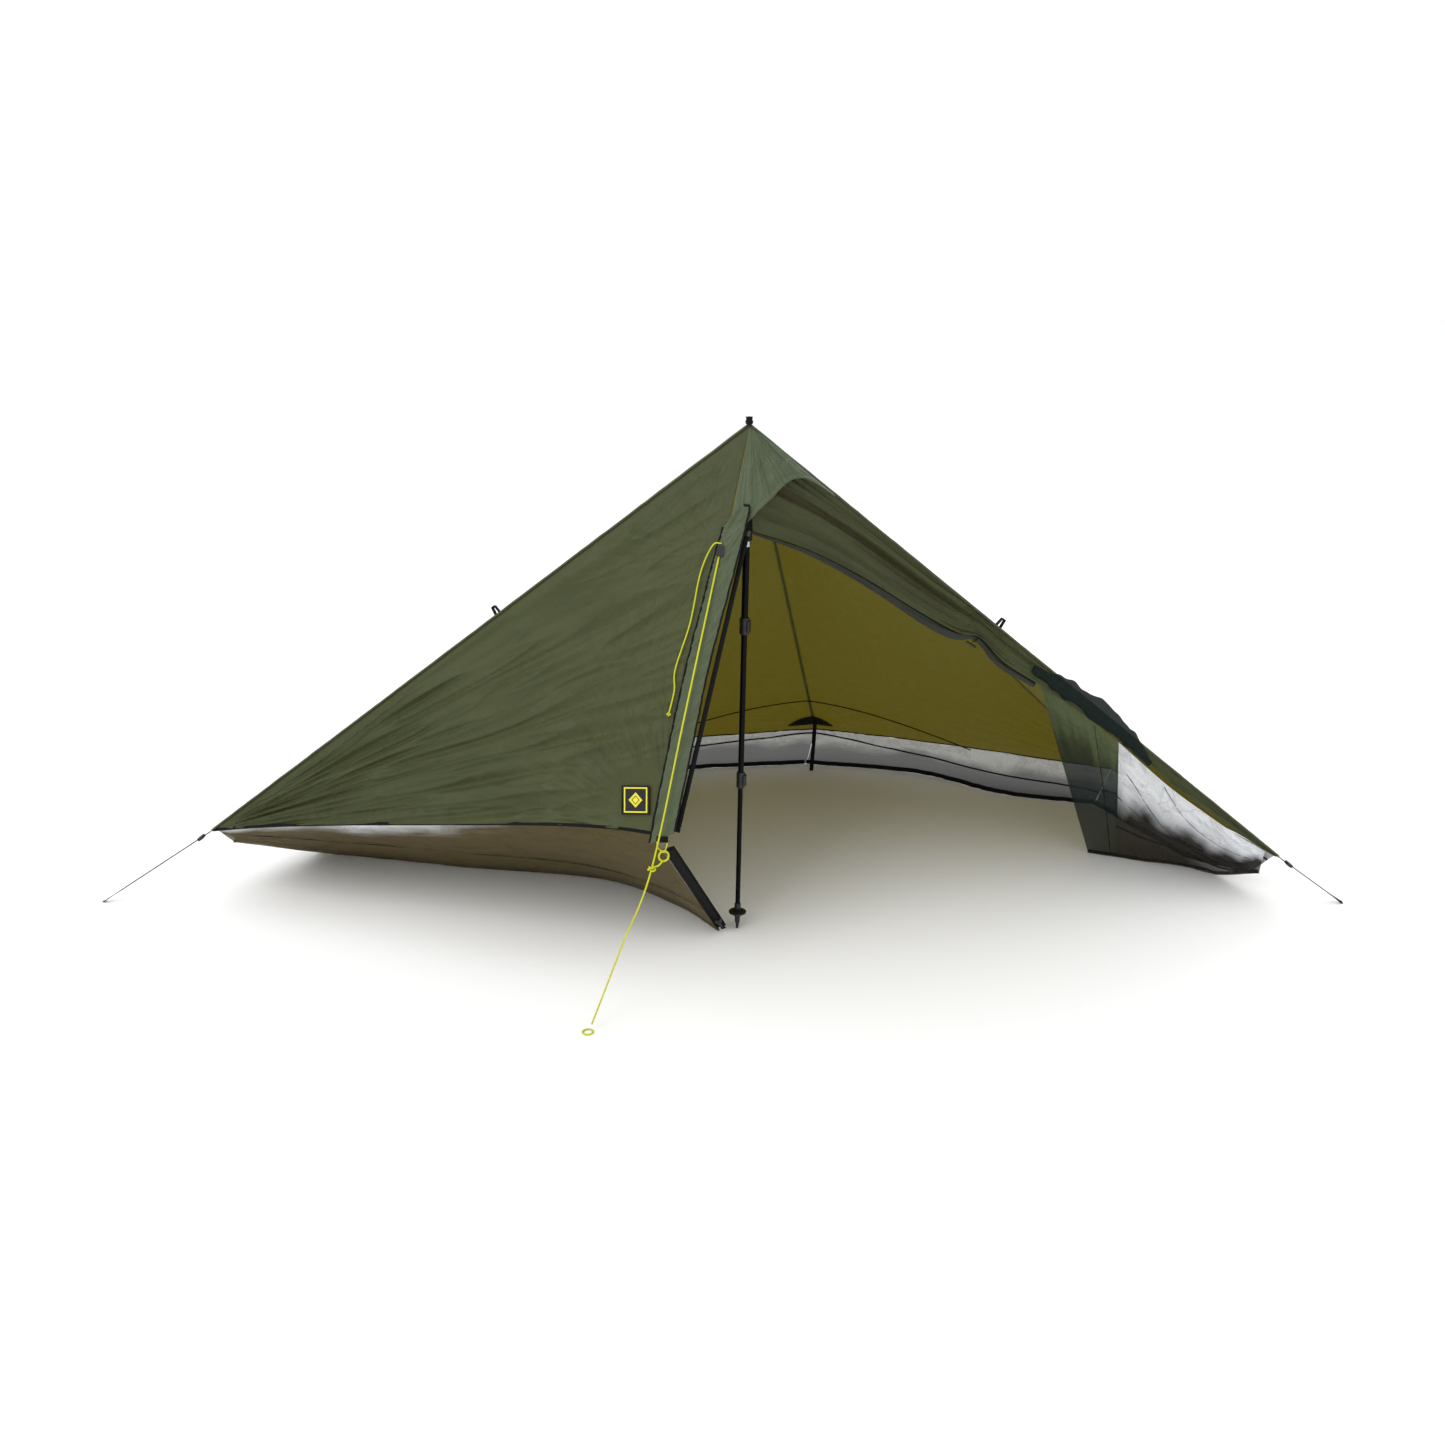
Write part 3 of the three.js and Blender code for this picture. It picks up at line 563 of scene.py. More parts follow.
# Painted daylight: the net door's top takes the hood's colour.
DOOR_NET = ("netting_door", "door_net", "hood", 0.86)


def fabric(kind=NYLON, glow_share=0.42):
    """One of the canopy's two cloths."""
    return coated_nylon(*kind, glow_share)


def webbing():
    """Black polyamide webbing."""
    return woven("webbing_black_polyamide", "webbing", roughness=0.85)


def yellow_cord():
    """Fluorescent yellow braided guyline."""
    return woven("cord_braided_yellow", "cord", rib=0.0016, roughness=0.55)


def acetal():
    """Moulded black acetal: a fine moulded grain and a low sheen."""
    return hard("acetal_moulded_black", "#141416", 0.42)


def anodised():
    """Black anodised aluminium tube, drawn and dyed: dark and satin, with fine wear."""
    return hard("aluminium_anodised_black", "#0b0b0d", 0.32, metallic=0.85, grain=0.0015, depth=0.00005)


def foam_grip():
    """EVA foam, cut and sanded: matt, with pores of about a millimetre."""
    return hard("foam_eva_black", "#19191b", 0.86, grain=0.0011, depth=0.0006)


def bare_steel():
    """Plain turned steel."""
    return hard("steel_turned", "#c2c5c9", 0.28, metallic=1.0, grain=0.002, depth=0.00005)


def floor_paint():
    """Matt wall paint on a smooth board: even colour, a roller's faint stipple."""
    material, tree, output = blank("floor_matt_paint")
    place = add(tree, "ShaderNodeTexCoord").outputs["Object"]
    stipple = add(tree, "ShaderNodeTexNoise", {"Vector": place, "Scale": 400.0, "Detail": 2.0}).outputs["Fac"]
    bump = add(tree, "ShaderNodeBump", {"Height": stipple, "Strength": 0.1, "Distance": 0.0002})
    face = add(
        tree, "ShaderNodeBsdfPrincipled",
        {
            "Base Color": tint("floor"), "Roughness": 0.95, "Specular IOR Level": 0.1,
            "Normal": bump.outputs["Normal"],
        },
    )
    tree.links.new(face.outputs["BSDF"], output.inputs["Surface"])
    return material


class ShelterOperator:
    """What every one of the shelter's operators shares."""

    bl_options = {"REGISTER", "UNDO"}

    @property
    def sizes(self):
        """The user's sizes."""
        return bpy.context.scene.shelter_sizes


# ---------------------------------------------------------------- stage

CAMERA_AT = at(-0.037, -2.952, 1.508)
CAMERA_TILT = np.radians(72.0)
CAMERA_LENS = 32.1
SENSOR_WIDTH = 36.0
VIEW_DISTANCE = 300.0
SURROUND_STRENGTH = 1.05
FLOOR_RADIUS = 95.0


class SHELTER_OT_stage(ShelterOperator, bpy.types.Operator):
    """Make the floor, the soft lights and the camera."""

    bl_idname = "shelter.stage"
    bl_label = "Stage"

    def execute(self, context):
        """A pale floor disc, white surroundings, two big soft lamps, and a camera on the doorway side."""
        scene = context.scene
        lens = bpy.data.cameras.new("camera")
        lens.lens, lens.sensor_width, lens.clip_end = CAMERA_LENS, SENSOR_WIDTH, VIEW_DISTANCE
        camera = bpy.data.objects.new("camera", lens)
        camera.location, camera.rotation_euler = CAMERA_AT, (CAMERA_TILT, 0, 0)
        scene.collection.objects.link(camera)
        scene.camera = camera

        world = bpy.data.worlds.new("white_surround")
        world.use_nodes = True
        world.node_tree.nodes["Background"].inputs["Color"].default_value = (1, 1, 1, 1)
        world.node_tree.nodes["Background"].inputs["Strength"].default_value = SURROUND_STRENGTH
        scene.world = world
        scene.view_settings.view_transform = "Standard"
        lamps = [
            ("key", (-2.6, -3.2, 4.2), (0.0, 0.0, 0.4), 3.0, 90.0),
            ("back", (1.6, 4.5, 4.0), (0.2, 0.3, 0.5), 3.0, 60.0),
        ]
        for name, place, aim, side, power in lamps:
            lamp = bpy.data.lights.new(name, "AREA")
            lamp.size, lamp.energy = side, power
            holder = bpy.data.objects.new(name, lamp)
            holder.location = place
            facing = bpy.data.objects.new(name + "_aim", None)
            facing.location = aim
            way = facing.location - holder.location
            holder.rotation_euler = way.to_track_quat("-Z", "Y").to_euler()
            scene.collection.objects.link(holder)
            bpy.data.objects.remove(facing)

        turn = np.linspace(0, 2 * np.pi, 96, endpoint=False)
        ring = np.stack([np.cos(turn), np.sin(turn), 0 * turn], -1)
        grid = np.array([0, 2, 6, FLOOR_RADIUS])[:, None, None] * ring
        floor = skin("floor", grid, floor_paint(), around=True)
        return {"FINISHED"}


# ---------------------------------------------------------------- cords

TENSIONER_AT = left_front(0.004, 0.3, 0.013)
GUY_AIM = unit(at(-0.192, -0.290, 0.318) - TENSIONER_AT)
GUY_START = TENSIONER_AT + 0.0124 * GUY_AIM
GUY_KNOT = at(-0.197, -0.292, 0.296)
GUY_END = at(-0.322, -0.484, 0.014)
STAKE_LOOP = at(-0.330, -0.495, 0.0022)
CORNER_RING = at(-0.170, -0.274, 0.320)
TAIL_START = TENSIONER_AT - 0.0177 * GUY_AIM
TAIL = [
    (0.02, 0.27, 14), (0.034, 0.32, 10), (0.035, 0.44, 10), (0.046, 0.54, 10), (0.04, 0.6, 10),
    (0.042, 0.66, 10),
]


def hoop(name, centre, facing, radius, section, material, stretch=1.0):
    """A closed ring of cord: a circle, drawn out one way by stretch, swept by a round section."""
    facing = unit(facing)
    level = unit(np.cross(facing, UP)) if abs(facing[2]) < 0.9 else np.array((1.0, 0, 0))
    rise = np.cross(level, facing)
    turn = np.linspace(0, 2 * np.pi, 49)
    section_turn = np.linspace(0, 2 * np.pi, 12, endpoint=False)
    spoke = np.cos(turn)[:, None] * level + stretch * np.sin(turn)[:, None] * rise
    line = centre + radius * spoke
    spoke = unit(spoke)
    cosine, sine = np.cos(section_turn)[None, :, None], np.sin(section_turn)[None, :, None]
    bulge = cosine * spoke[:, None] + sine * facing
    return skin(name, line[:, None] + section * bulge, material, around=True)


def overhand(name, centre, axis, reach, diameter, material):
    """A small knot: a trefoil of cord, wound round an axis."""
    axis = unit(axis)
    side = unit(np.cross(axis, (0.3, 1, 0.1)))
    other = np.cross(axis, side)
    t = np.linspace(0, 2 * np.pi, 120)
    x, y, z = (2 + np.cos(3 * t)) * np.cos(2 * t), (2 + np.cos(3 * t)) * np.sin(2 * t), np.sin(3 * t)
    line = centre + reach / 3 * (x[:, None] * side + y[:, None] * other + 1.2 * z[:, None] * axis)
    return swept(name, line, diameter, diameter, axis, material, sides=10)


class SHELTER_OT_cords(ShelterOperator, bpy.types.Operator):
    """Make the guyline, its tail, knots and loops."""

    bl_idname = "shelter.cords"
    bl_label = "Cords"

    def execute(self, context):
        """Routes in straight taut runs and one hanging tail, each swept by a round section."""
        cord = yellow_cord()
        halfway = [(GUY_START + GUY_KNOT) / 2, (GUY_KNOT + GUY_END) / 2]
        route = smooth_line([GUY_START, halfway[0], GUY_KNOT, halfway[1], GUY_END], 60)
        across = np.cross(GUY_AIM, UP)
        thick = self.sizes.line_diameter
        line = settle(swept("guyline", route, thick, thick, across, cord), "canopy", "cord", "front_guyline")
        loop = settle(
            hoop("stake_loop", STAKE_LOOP, UP, 0.011, 0.0019, cord), "canopy", "cord", "guyline_stake_loop",
        )

        share = np.array(TAIL)
        hang = np.vstack([TAIL_START, left_front(share[:, 0], share[:, 1], share[:, 2] / 1000)])
        hang = smooth_line(hang, 70)
        thin = self.sizes.tail_diameter
        tail = settle(
            swept("line_tail", hang, thin, thin, (1, 0.3, 0), cord), "canopy", "cord", "guyline_tail",
        )
        end_knot = settle(
            overhand("tail_knot", hang[-2], hang[-1] - hang[-3], 0.0042, 0.003, cord), "canopy", "cord",
        )

        settle(
            overhand("line_knot", GUY_KNOT, GUY_AIM, 0.0085, 0.0042, cord), "canopy", "cord", "guyline_knot",
        )
        facing = np.array((0.35, -1, 0.2))
        settle(
            hoop("corner_hoop", CORNER_RING, facing, 0.0115, 0.0024, cord), "canopy", "cord", "corner_ring",
        )
        tie_top = middle_of("corner_tab") + (0, 0, -0.004)
        ring_top = CORNER_RING + (0, -0.003, 0.010)
        for name, s, nodes in (("corner_tie_left", -1, ["corner_loop"]), ("corner_tie_right", 1, [])):
            strand = [tie_top + (s * 0.012, -0.004, 0), tie_top + (s * 0.009, -0.012, -0.012), ring_top]
            strand = smooth_line(strand, 20)
            settle(swept(name, strand, 0.003, 0.003, (1, 0, 0), cord), "canopy", "cord", *nodes)
        link = [
            CORNER_RING + (-0.002, -0.006, -0.009), CORNER_RING + (-0.012, -0.012, -0.018),
            GUY_KNOT + (0, 0, 0.004),
        ]
        settle(swept("ring_tie", smooth_line(link, 20), 0.004, 0.004, (1, 0, 0), cord), "canopy", "cord")
        return {"FINISHED"}


# ---------------------------------------------------------------- canopy


def front_hem(share):
    """The front hem: nearly straight between its corners, cut up into the panel in the middle."""
    base = blend_between(LEFT_CORNER, FRONT_CORNER, share)
    rise = FRONT_HEM_RISE * (1 - (2 * np.asarray(share) - 1) ** 4)
    return base + rise[..., None] * unit(PEAK - base)


def plain_hem(a, b):
    """A hem between two corners, cut up in the middle by HEM_RISE."""

    def line(share):
        base, share = blend_between(a, b, share), np.asarray(share)
        return base + (HEM_RISE * 4 * share * (1 - share))[..., None] * unit(PEAK - base)

    return line


# Each panel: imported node, hem line, hem corners, sag, fans of (corner, toward, count, reach, depth), and
# the crumple's depth.
REAR_HUB = REAR_CENTRE + 0.04 * (PEAK - REAR_CENTRE)
TIE = left_front(0.004, 0.3)
PANELS = {
    "cloth_front_left": dict(
        node="front_left_panel", hem=lambda share: front_hem(share * 0.985), ends=(LEFT_CORNER, FRONT_CORNER),
        sag=0.014,
        fans=[
            (LEFT_CORNER, TIE, 24, 1.8, 0.024), (PEAK, LEFT_CORNER + (0.6, 0, 0), 20, 0.8, 0.0016),
            (FRONT_CORNER, at(-0.7, 0, 0.6), 22, 0.42, 0.010), (TIE, at(-0.6, 0, 0.5), 14, 0.4, 0.0032),
        ],
        crumple=0.0042, size=(320, 250),
    ),
    "cloth_left_end": dict(
        node="left_end_panel", hem=plain_hem(LEFT_CORNER, REAR_LEFT), ends=(LEFT_CORNER, REAR_LEFT),
        sag=0.022,
        fans=[(PEAK, at(-1.2, 0.5, 0.1), 26, 1.0, 0.004), (LEFT_CORNER, at(-0.6, 0.5, 0.5), 20, 0.7, 0.005),
              (REAR_LEFT, at(-0.6, 0.5, 0.5), 20, 0.6, 0.005)],
        crumple=0.0024, size=(180, 180),
    ),
    "cloth_rear_left": dict(
        node="rear_left_panel", hem=plain_hem(REAR_LEFT, REAR_CENTRE), ends=(REAR_LEFT, REAR_CENTRE),
        sag=0.024,
        fans=[(PEAK, at(-0.4, 1.0, 0.1), 24, 0.9, 0.003), (REAR_LEFT, at(0, 0.5, 0.6), 20, 0.6, 0.004),
              (REAR_HUB, at(0, 0.5, 0.6), 26, 0.3, 0.004)],
        crumple=0.0014, size=(200, 180),
    ),
    "cloth_rear_right": dict(
        node="rear_right_panel", hem=plain_hem(REAR_CENTRE, REAR_RIGHT), ends=(REAR_CENTRE, REAR_RIGHT),
        sag=0.022,
        fans=[(PEAK, at(0.7, 1.0, 0.1), 24, 0.9, 0.003), (REAR_RIGHT, at(0.4, 0.5, 0.6), 20, 0.6, 0.004),
              (REAR_HUB, at(0.5, 0.5, 0.6), 26, 0.3, 0.004)],
        crumple=0.0014, size=(180, 180),
    ),
    "cloth_right_end": dict(
        node="right_end_panel", hem=plain_hem(REAR_RIGHT, RIGHT_CORNER), ends=(REAR_RIGHT, RIGHT_CORNER),
        sag=0.022,
        fans=[(PEAK, at(1.2, 0.5, 0.1), 26, 1.0, 0.004), (RIGHT_CORNER, at(0.6, 0.5, 0.5), 20, 0.7, 0.005),
              (REAR_RIGHT, at(0.6, 0.5, 0.5), 20, 0.6, 0.005)],
        crumple=0.0024, size=(180, 180),
    ),
}


RIDGE_FADE = 0.07
BADGE_FADE = (0.045, 0.12)
CREASE_SIZE, CREASE_STRETCH = 0.13, 3.0


def panel_surface(hem, ends, sag, fans, crumple_depth, size, depth, seed):
    """A panel's grid: straight rays from the peak to the hem, sagged and folded along its plane's normal.

    The sag is a hump over the panel, and the folds die out at the two ridges so that neighbours meet.
    """
    columns, rows = size
    u = np.linspace(0, 1, columns)
    v = np.linspace(0.004, 1, rows)[:, None]
    line = hem(u)
    base = PEAK + v[..., None] * (line - PEAK)
    facing = outward(PEAK, *ends)
    wide = np.linalg.norm(line[-1] - line[0])
    edge = eased(u * wide * v, 0, RIDGE_FADE) * eased((1 - u) * wide * v, 0, RIDGE_FADE)
    lift = -sag * 4 * u * (1 - u) * np.sin(np.pi * v**1.2) * 1.1
    bumps = np.zeros_like(edge)
    for k, (origin, toward, count, reach, height) in enumerate(fans):
        wave, distance = fan(base, origin, toward - origin, facing, count, seed + 10 * k)
        bumps += height * wave * eased(distance, 0.0, 0.12) * np.exp(-((distance / reach) ** 2))
    along = ends[0] - PEAK
    bumps += crumple_depth * crumple(base, along, facing, CREASE_SIZE, CREASE_STRETCH, seed + 3)
    bumps = bumps * eased(np.linalg.norm(base - BADGE_AT, axis=-1), *BADGE_FADE)
    return base + (edge * (lift + depth * bumps))[..., None] * facing, facing


def seam(name, line, facing, width):
    """A felled seam: a low rounded band of two folded cloth edges, on a ridge."""
    tangent = unit(line[-1] - line[0])
    across = np.cross(facing, tangent)
    count = 90
    spread = blend_between(line[0], line[-1], np.linspace(0, 1, count))
    pucker = 0.0006 * noise(np.linspace(0, 60, count), 0.5, 7)
    return swept(
        name, spread + (0.0018 + pucker[:, None]) * facing, width, 0.0026, across, fabric(), square=0.7,
    )


class SHELTER_OT_canopy(ShelterOperator, bpy.types.Operator):
    """Make the five whole canopy panels with their seams and hems."""

    bl_idname = "shelter.canopy"
    bl_label = "Canopy"

    def execute(self, context):
        """Fans of cloth from the peak, sharing their ridges, then a band on each ridge and along each hem."""
        for k, (name, made) in enumerate(PANELS.items()):
            grid, facing = panel_surface(
                made["hem"], made["ends"], made["sag"], made["fans"], made["crumple"], made["size"],
                self.sizes.fold_depth, 100 * (k + 1),
            )
            across = unit(made["ends"][1] - made["ends"][0])
            down = np.cross(facing, across)
            chart = np.stack([grid @ across, grid @ down], -1)
            sheet = settle(
                skin(name, grid, fabric(), facing=facing, chart=chart), "canopy", "shell", made["node"],
            )
            hem_line = grid[-1]
            in_panel = unit(hem_line - grid[-8])
            edge = hem_line - 0.4 * self.sizes.hem_width * in_panel
            band = swept(
                name.replace("cloth", "hem"), edge[::2], self.sizes.hem_width, 0.0024, in_panel[::2],
                webbing(), square=0.5,
            )
            settle(band, "canopy", "shell")
        corners = [LEFT_CORNER, REAR_LEFT, REAR_CENTRE, REAR_RIGHT, RIGHT_CORNER]
        facings = [outward(PEAK, one, two) for one, two in zip(corners, corners[1:])]
        facings = [LEFT_FRONT_OUT, *facings, DOOR_OUT]
        names = ["seam_left", "seam_rear_left", "seam_rear", "seam_rear_right", "seam_right"]
        for name, corner, before, after in zip(names, corners, facings, facings[1:]):
            line = np.array([PEAK, corner])
            settle(seam(name, line, unit(before + after), self.sizes.seam_width), "canopy", "shell")
        return {"FINISHED"}


# ---------------------------------------------------------------- door side

# The door side's free edge in shares (down the ridge, towards the front corner, its partner on the ridge).
DOOR_EDGE = np.array([
    (0.034, 0.215, 0.0), (0.12, 0.161, 0.09), (0.204, 0.128, 0.18), (0.31, 0.103, 0.30), (0.37, 0.082, 0.36),
    (0.405, 0.055, 0.40), (0.45, 0.066, 0.445), (0.514, 0.054, 0.51), (0.6, 0.04, 0.6), (0.714, 0.03, 0.714),
    (0.779, 0.035, 0.779), (0.84, 0.031, 0.84), (0.927, 0.02, 0.927), (0.985, 0.009, 0.985),
    (0.999, 0.001, 0.999),
])
ROLL_POINTS = 8
ROLL_RADII = np.array([5, 9, 13, 17, 18, 9, 12, 9]) / 1000
ROLL_TURNS = 2.2
HOOD_EDGE = np.array([
    (-0.001, 0.226), (0.016, 0.214), (0.031, 0.164), (0.046, 0.116), (0.056, 0.08), (0.068, 0.049),
    (0.085, 0.024),
    (0.106, 0.012), (0.14, 0.005),
])
DOOR_STEPS, HOOD_STEPS, ROLL_STEPS, PLACKET_STEPS = 260, 120, 240, 300
PLACKET_MIDDLE = PLACKET_STEPS // 2
ZIP_TAPE = (0.012, 0.0012)
ZIP_COIL = (0.0042, 0.0021)
ZIP_TOP, ZIP_FOOT = left_front(-0.035, 0.285, -0.006), left_front(-0.014, 1.0, -0.006)


def door_surface(depth):
    """The cloth between the right ridge and the rolled door, with long folds that run beside the ridge."""
    lower = smooth_line(DOOR_EDGE, DOOR_STEPS)
    w = np.linspace(0, 1, 60)
    along = lower[:, None, 2] + (lower[:, None, 0] - lower[:, None, 2]) * w
    front = lower[:, None, 1] * w
    share = np.linspace(0, 1, DOOR_STEPS)[:, None]
    upper = 1 - eased(share, 0.38, 0.6)
    wave = folds(w * 4.2 + share * 1.5, share * 2.4, 71) * 0.021 * upper
    wave = wave + folds(w * 11, share * 7, 73) * 0.003 + folds(w * 3, share * 30, 75) * 0.004 * (1 - upper)
    wave = wave - 0.016 * upper * np.sin(np.pi * w) ** 0.7
    lift = depth * wave * eased(w, 0, 0.12) * eased(1 - share, 0, 0.05) * eased(share, 0, 0.03)
    # Painted shade: the cloth under the hood, and most of all the hollows of its folds, takes the shade
    # colour.
    painted_valley_shade = np.clip(0.55 - 1.5 * folds(w * 4.2 + share * 1.5, share * 2.4, 71), 0.15, 1)
    painted_lighting = (1 - eased(share + 0.15 * w, 0.3, 0.66)) * eased(w, 0.0, 0.2) * painted_valley_shade
    return door_side(along, front, lift), painted_lighting


def hood_surface(depth):
    """The vent hood: rays from the peak to an arched edge that stands off the door side."""
    edge = smooth_line(HOOD_EDGE, HOOD_STEPS)
    w = np.linspace(0.004, 1, 110)[:, None]
    s = np.linspace(0, 1, HOOD_STEPS)
    grid = door_side(edge[:, 0] * w, edge[:, 1] * w)
    lift = 0.007 * eased(w, 0.0, 0.3) + 0.021 * w**2 * np.sin(np.pi * s) ** 0.8
    wave, distance = fan(grid, PEAK, door_side(0.07, 0.08) - PEAK, DOOR_OUT, 14, 81)
    dent = 0.007 * crumple(grid, UP, DOOR_OUT, 0.036, 1.5, 85) * eased(w, 0.25, 0.5) * eased(1 - w, 0.03, 0.2)
    lift = lift + depth * (0.006 * wave * eased(distance, 0, 0.08) + dent) * np.sin(np.pi * s) ** 0.6
    return grid + lift[..., None] * DOOR_OUT


def placket_surface():
    """The zip's cover: a ruled strip beside the opening, puckered across by its stitching."""
    inner = smooth_line(
        left_front([0.010, 0.016, 0.029, 0.032], [0.235, 0.316, 0.6, 0.985], 0.004), PLACKET_STEPS,
    )
    outer = smooth_line(
        left_front([-0.022, -0.033, -0.016, -0.012], [0.215, 0.27, 0.6, 1.0], 0.004), PLACKET_STEPS,
    )
    w = np.linspace(0, 1, 28)
    grid = inner[:, None] + (outer - inner)[:, None] * w[:, None]
    length = measured(inner)[:, None]
    pucker = folds(length / 0.030 + w * 0.9, w * 2.2, 91) * 0.005 + folds(length / 0.012, w * 4, 93) * 0.0009
    pucker = pucker + 0.003 * np.sin(np.pi * w) + 0.004 * noise(length / 0.14, w * 1.5, 95)
    return grid + pucker[..., None] * LEFT_FRONT_OUT, inner, outer


def roll_surface():
    """The rolled door: a spiral of cloth about the roll's line, squeezed at its toggle.

    The radius grows with the turn, and every layer takes the same folds so that none cuts another.
    """
    share = DOOR_EDGE[:ROLL_POINTS, :2]
    centre = smooth_line(door_side(share[:, 0], share[:, 1], -(ROLL_RADII + 0.008)), ROLL_STEPS)
    radius = smooth_line(np.stack([ROLL_RADII] * 3, 1), ROLL_STEPS)[:, 0]
    tangent = unit(np.gradient(centre, axis=0))
    side = unit(np.cross(tangent, DOOR_OUT))
    other = np.cross(side, tangent)
    turn = np.linspace(0.3, 0.3 + 2 * np.pi * ROLL_TURNS, 150)
    s = measured(centre)[:, None]
    growth = 0.42 + 0.5 * (turn - turn[0]) / (turn[-1] - turn[0])
    shape = 0.26 * noise(1.7 * np.cos(turn) + s * 5, 1.7 * np.sin(turn) + s * 3, 101)
    shape = shape + 0.12 * folds(3.4 * np.cos(turn) + s * 11, 3.4 * np.sin(turn) + s * 4, 103)
    reach = radius[:, None] * growth * (1 + shape)
    cosine, sine = np.cos(turn)[None, :, None], np.sin(turn)[None, :, None]
    spoke = cosine * side[:, None] + sine * other[:, None]
    return centre[:, None] + reach[..., None] * spoke, centre, radius


class SHELTER_OT_door(ShelterOperator, bpy.types.Operator):
    """Make the door side: its cloth, hood, placket, zip and the rolled door."""

    bl_idname = "shelter.door"
    bl_label = "Door side"

    def execute(self, context):
        """Ruled and rayed sheets over the doorway's edges, and bands for the hood's rim and the zip."""
        depth = self.sizes.fold_depth
        grid, painted_lighting = door_surface(depth)
        hood_cloth = fabric(HOOD_NYLON, 0.2)
        cloth = settle(
            skin("cloth_door_side", grid, fabric(), facing=DOOR_OUT, painted_lighting=painted_lighting), "canopy", "shell",
            "right_front_panel",
        )

        hood_grid = hood_surface(depth)
        hood = settle(
            skin("hood", hood_grid, hood_cloth, facing=DOOR_OUT), "canopy", "hood", "vent_hood",
        )
        rim = hood_grid[-1]
        settle(
            swept("hood_rim", rim, 0.011, 0.003, unit(rim - hood_grid[-6]), hood_cloth, square=0.6),
            "canopy", "hood",
        )

        placket, inner, outer = placket_surface()
        flap = settle(
            skin("placket", placket, hood_cloth, facing=LEFT_FRONT_OUT), "canopy", "hood", "zip_placket",
        )
        across = outer[PLACKET_MIDDLE] - inner[PLACKET_MIDDLE]
        for name, line in (("placket_edge", placket[:, -1]), ("placket_seam", placket[:, 0])):
            settle(swept(name, line[::2], 0.005, 0.0022, across, webbing()), "canopy", "hood")

        zip_way = unit(ZIP_FOOT - ZIP_TOP)
        zip_wide = np.cross(LEFT_FRONT_OUT, zip_way)
        tape = blend_between(ZIP_TOP, ZIP_FOOT, np.linspace(0, 1, 120))
        settle(
            swept("door_zip_tape", tape, *ZIP_TAPE, zip_wide, webbing(), square=0.4), "canopy", "webbing",
            "door_zip",
        )
        settle(swept("door_zip_coil", tape, *ZIP_COIL, zip_wide, webbing()), "canopy", "webbing")

        roll, centre, radius = roll_surface()
        # Painted shade: the rolled door's nylon is coloured far darker than the canopy's, for its shade under
        # the door-side cloth.
        rolled = settle(
            skin("door_rolled", roll, fabric(ROLLED_NYLON, 0.1), facing=DOOR_OUT), "canopy", "shell",
            "door_roll",
        )
        under = centre + (radius * 0.9)[:, None] * unit(np.cross(DOOR_OUT, RIGHT_CORNER - PEAK))
        settle(swept("roll_zip", under, 0.008, 0.005, DOOR_OUT, webbing()), "canopy", "webbing")
        return {"FINISHED"}


# ---------------------------------------------------------------- nets

NET_DROP = np.array((0, 0, 0.001))
GROUND = 0.0012
NET_GRID = (190, 56)
# Painted light: the left front net is the same dark netting, coloured tan-olive for the canopy's olive light
# on it.
SUN_NET = ("netting_painted_olive_light", "net_left", "net_pale", 0.92)


def below(hem, shares):
    """Points a little under a hem, at these shares of it."""
    return [hem(np.array(s)) + NET_DROP for s in shares]


def grounded(*points):
    """Points on the ground, or at a height where one is given."""
    return [at(*(p if len(p) == 3 else (*p, GROUND))) for p in points]


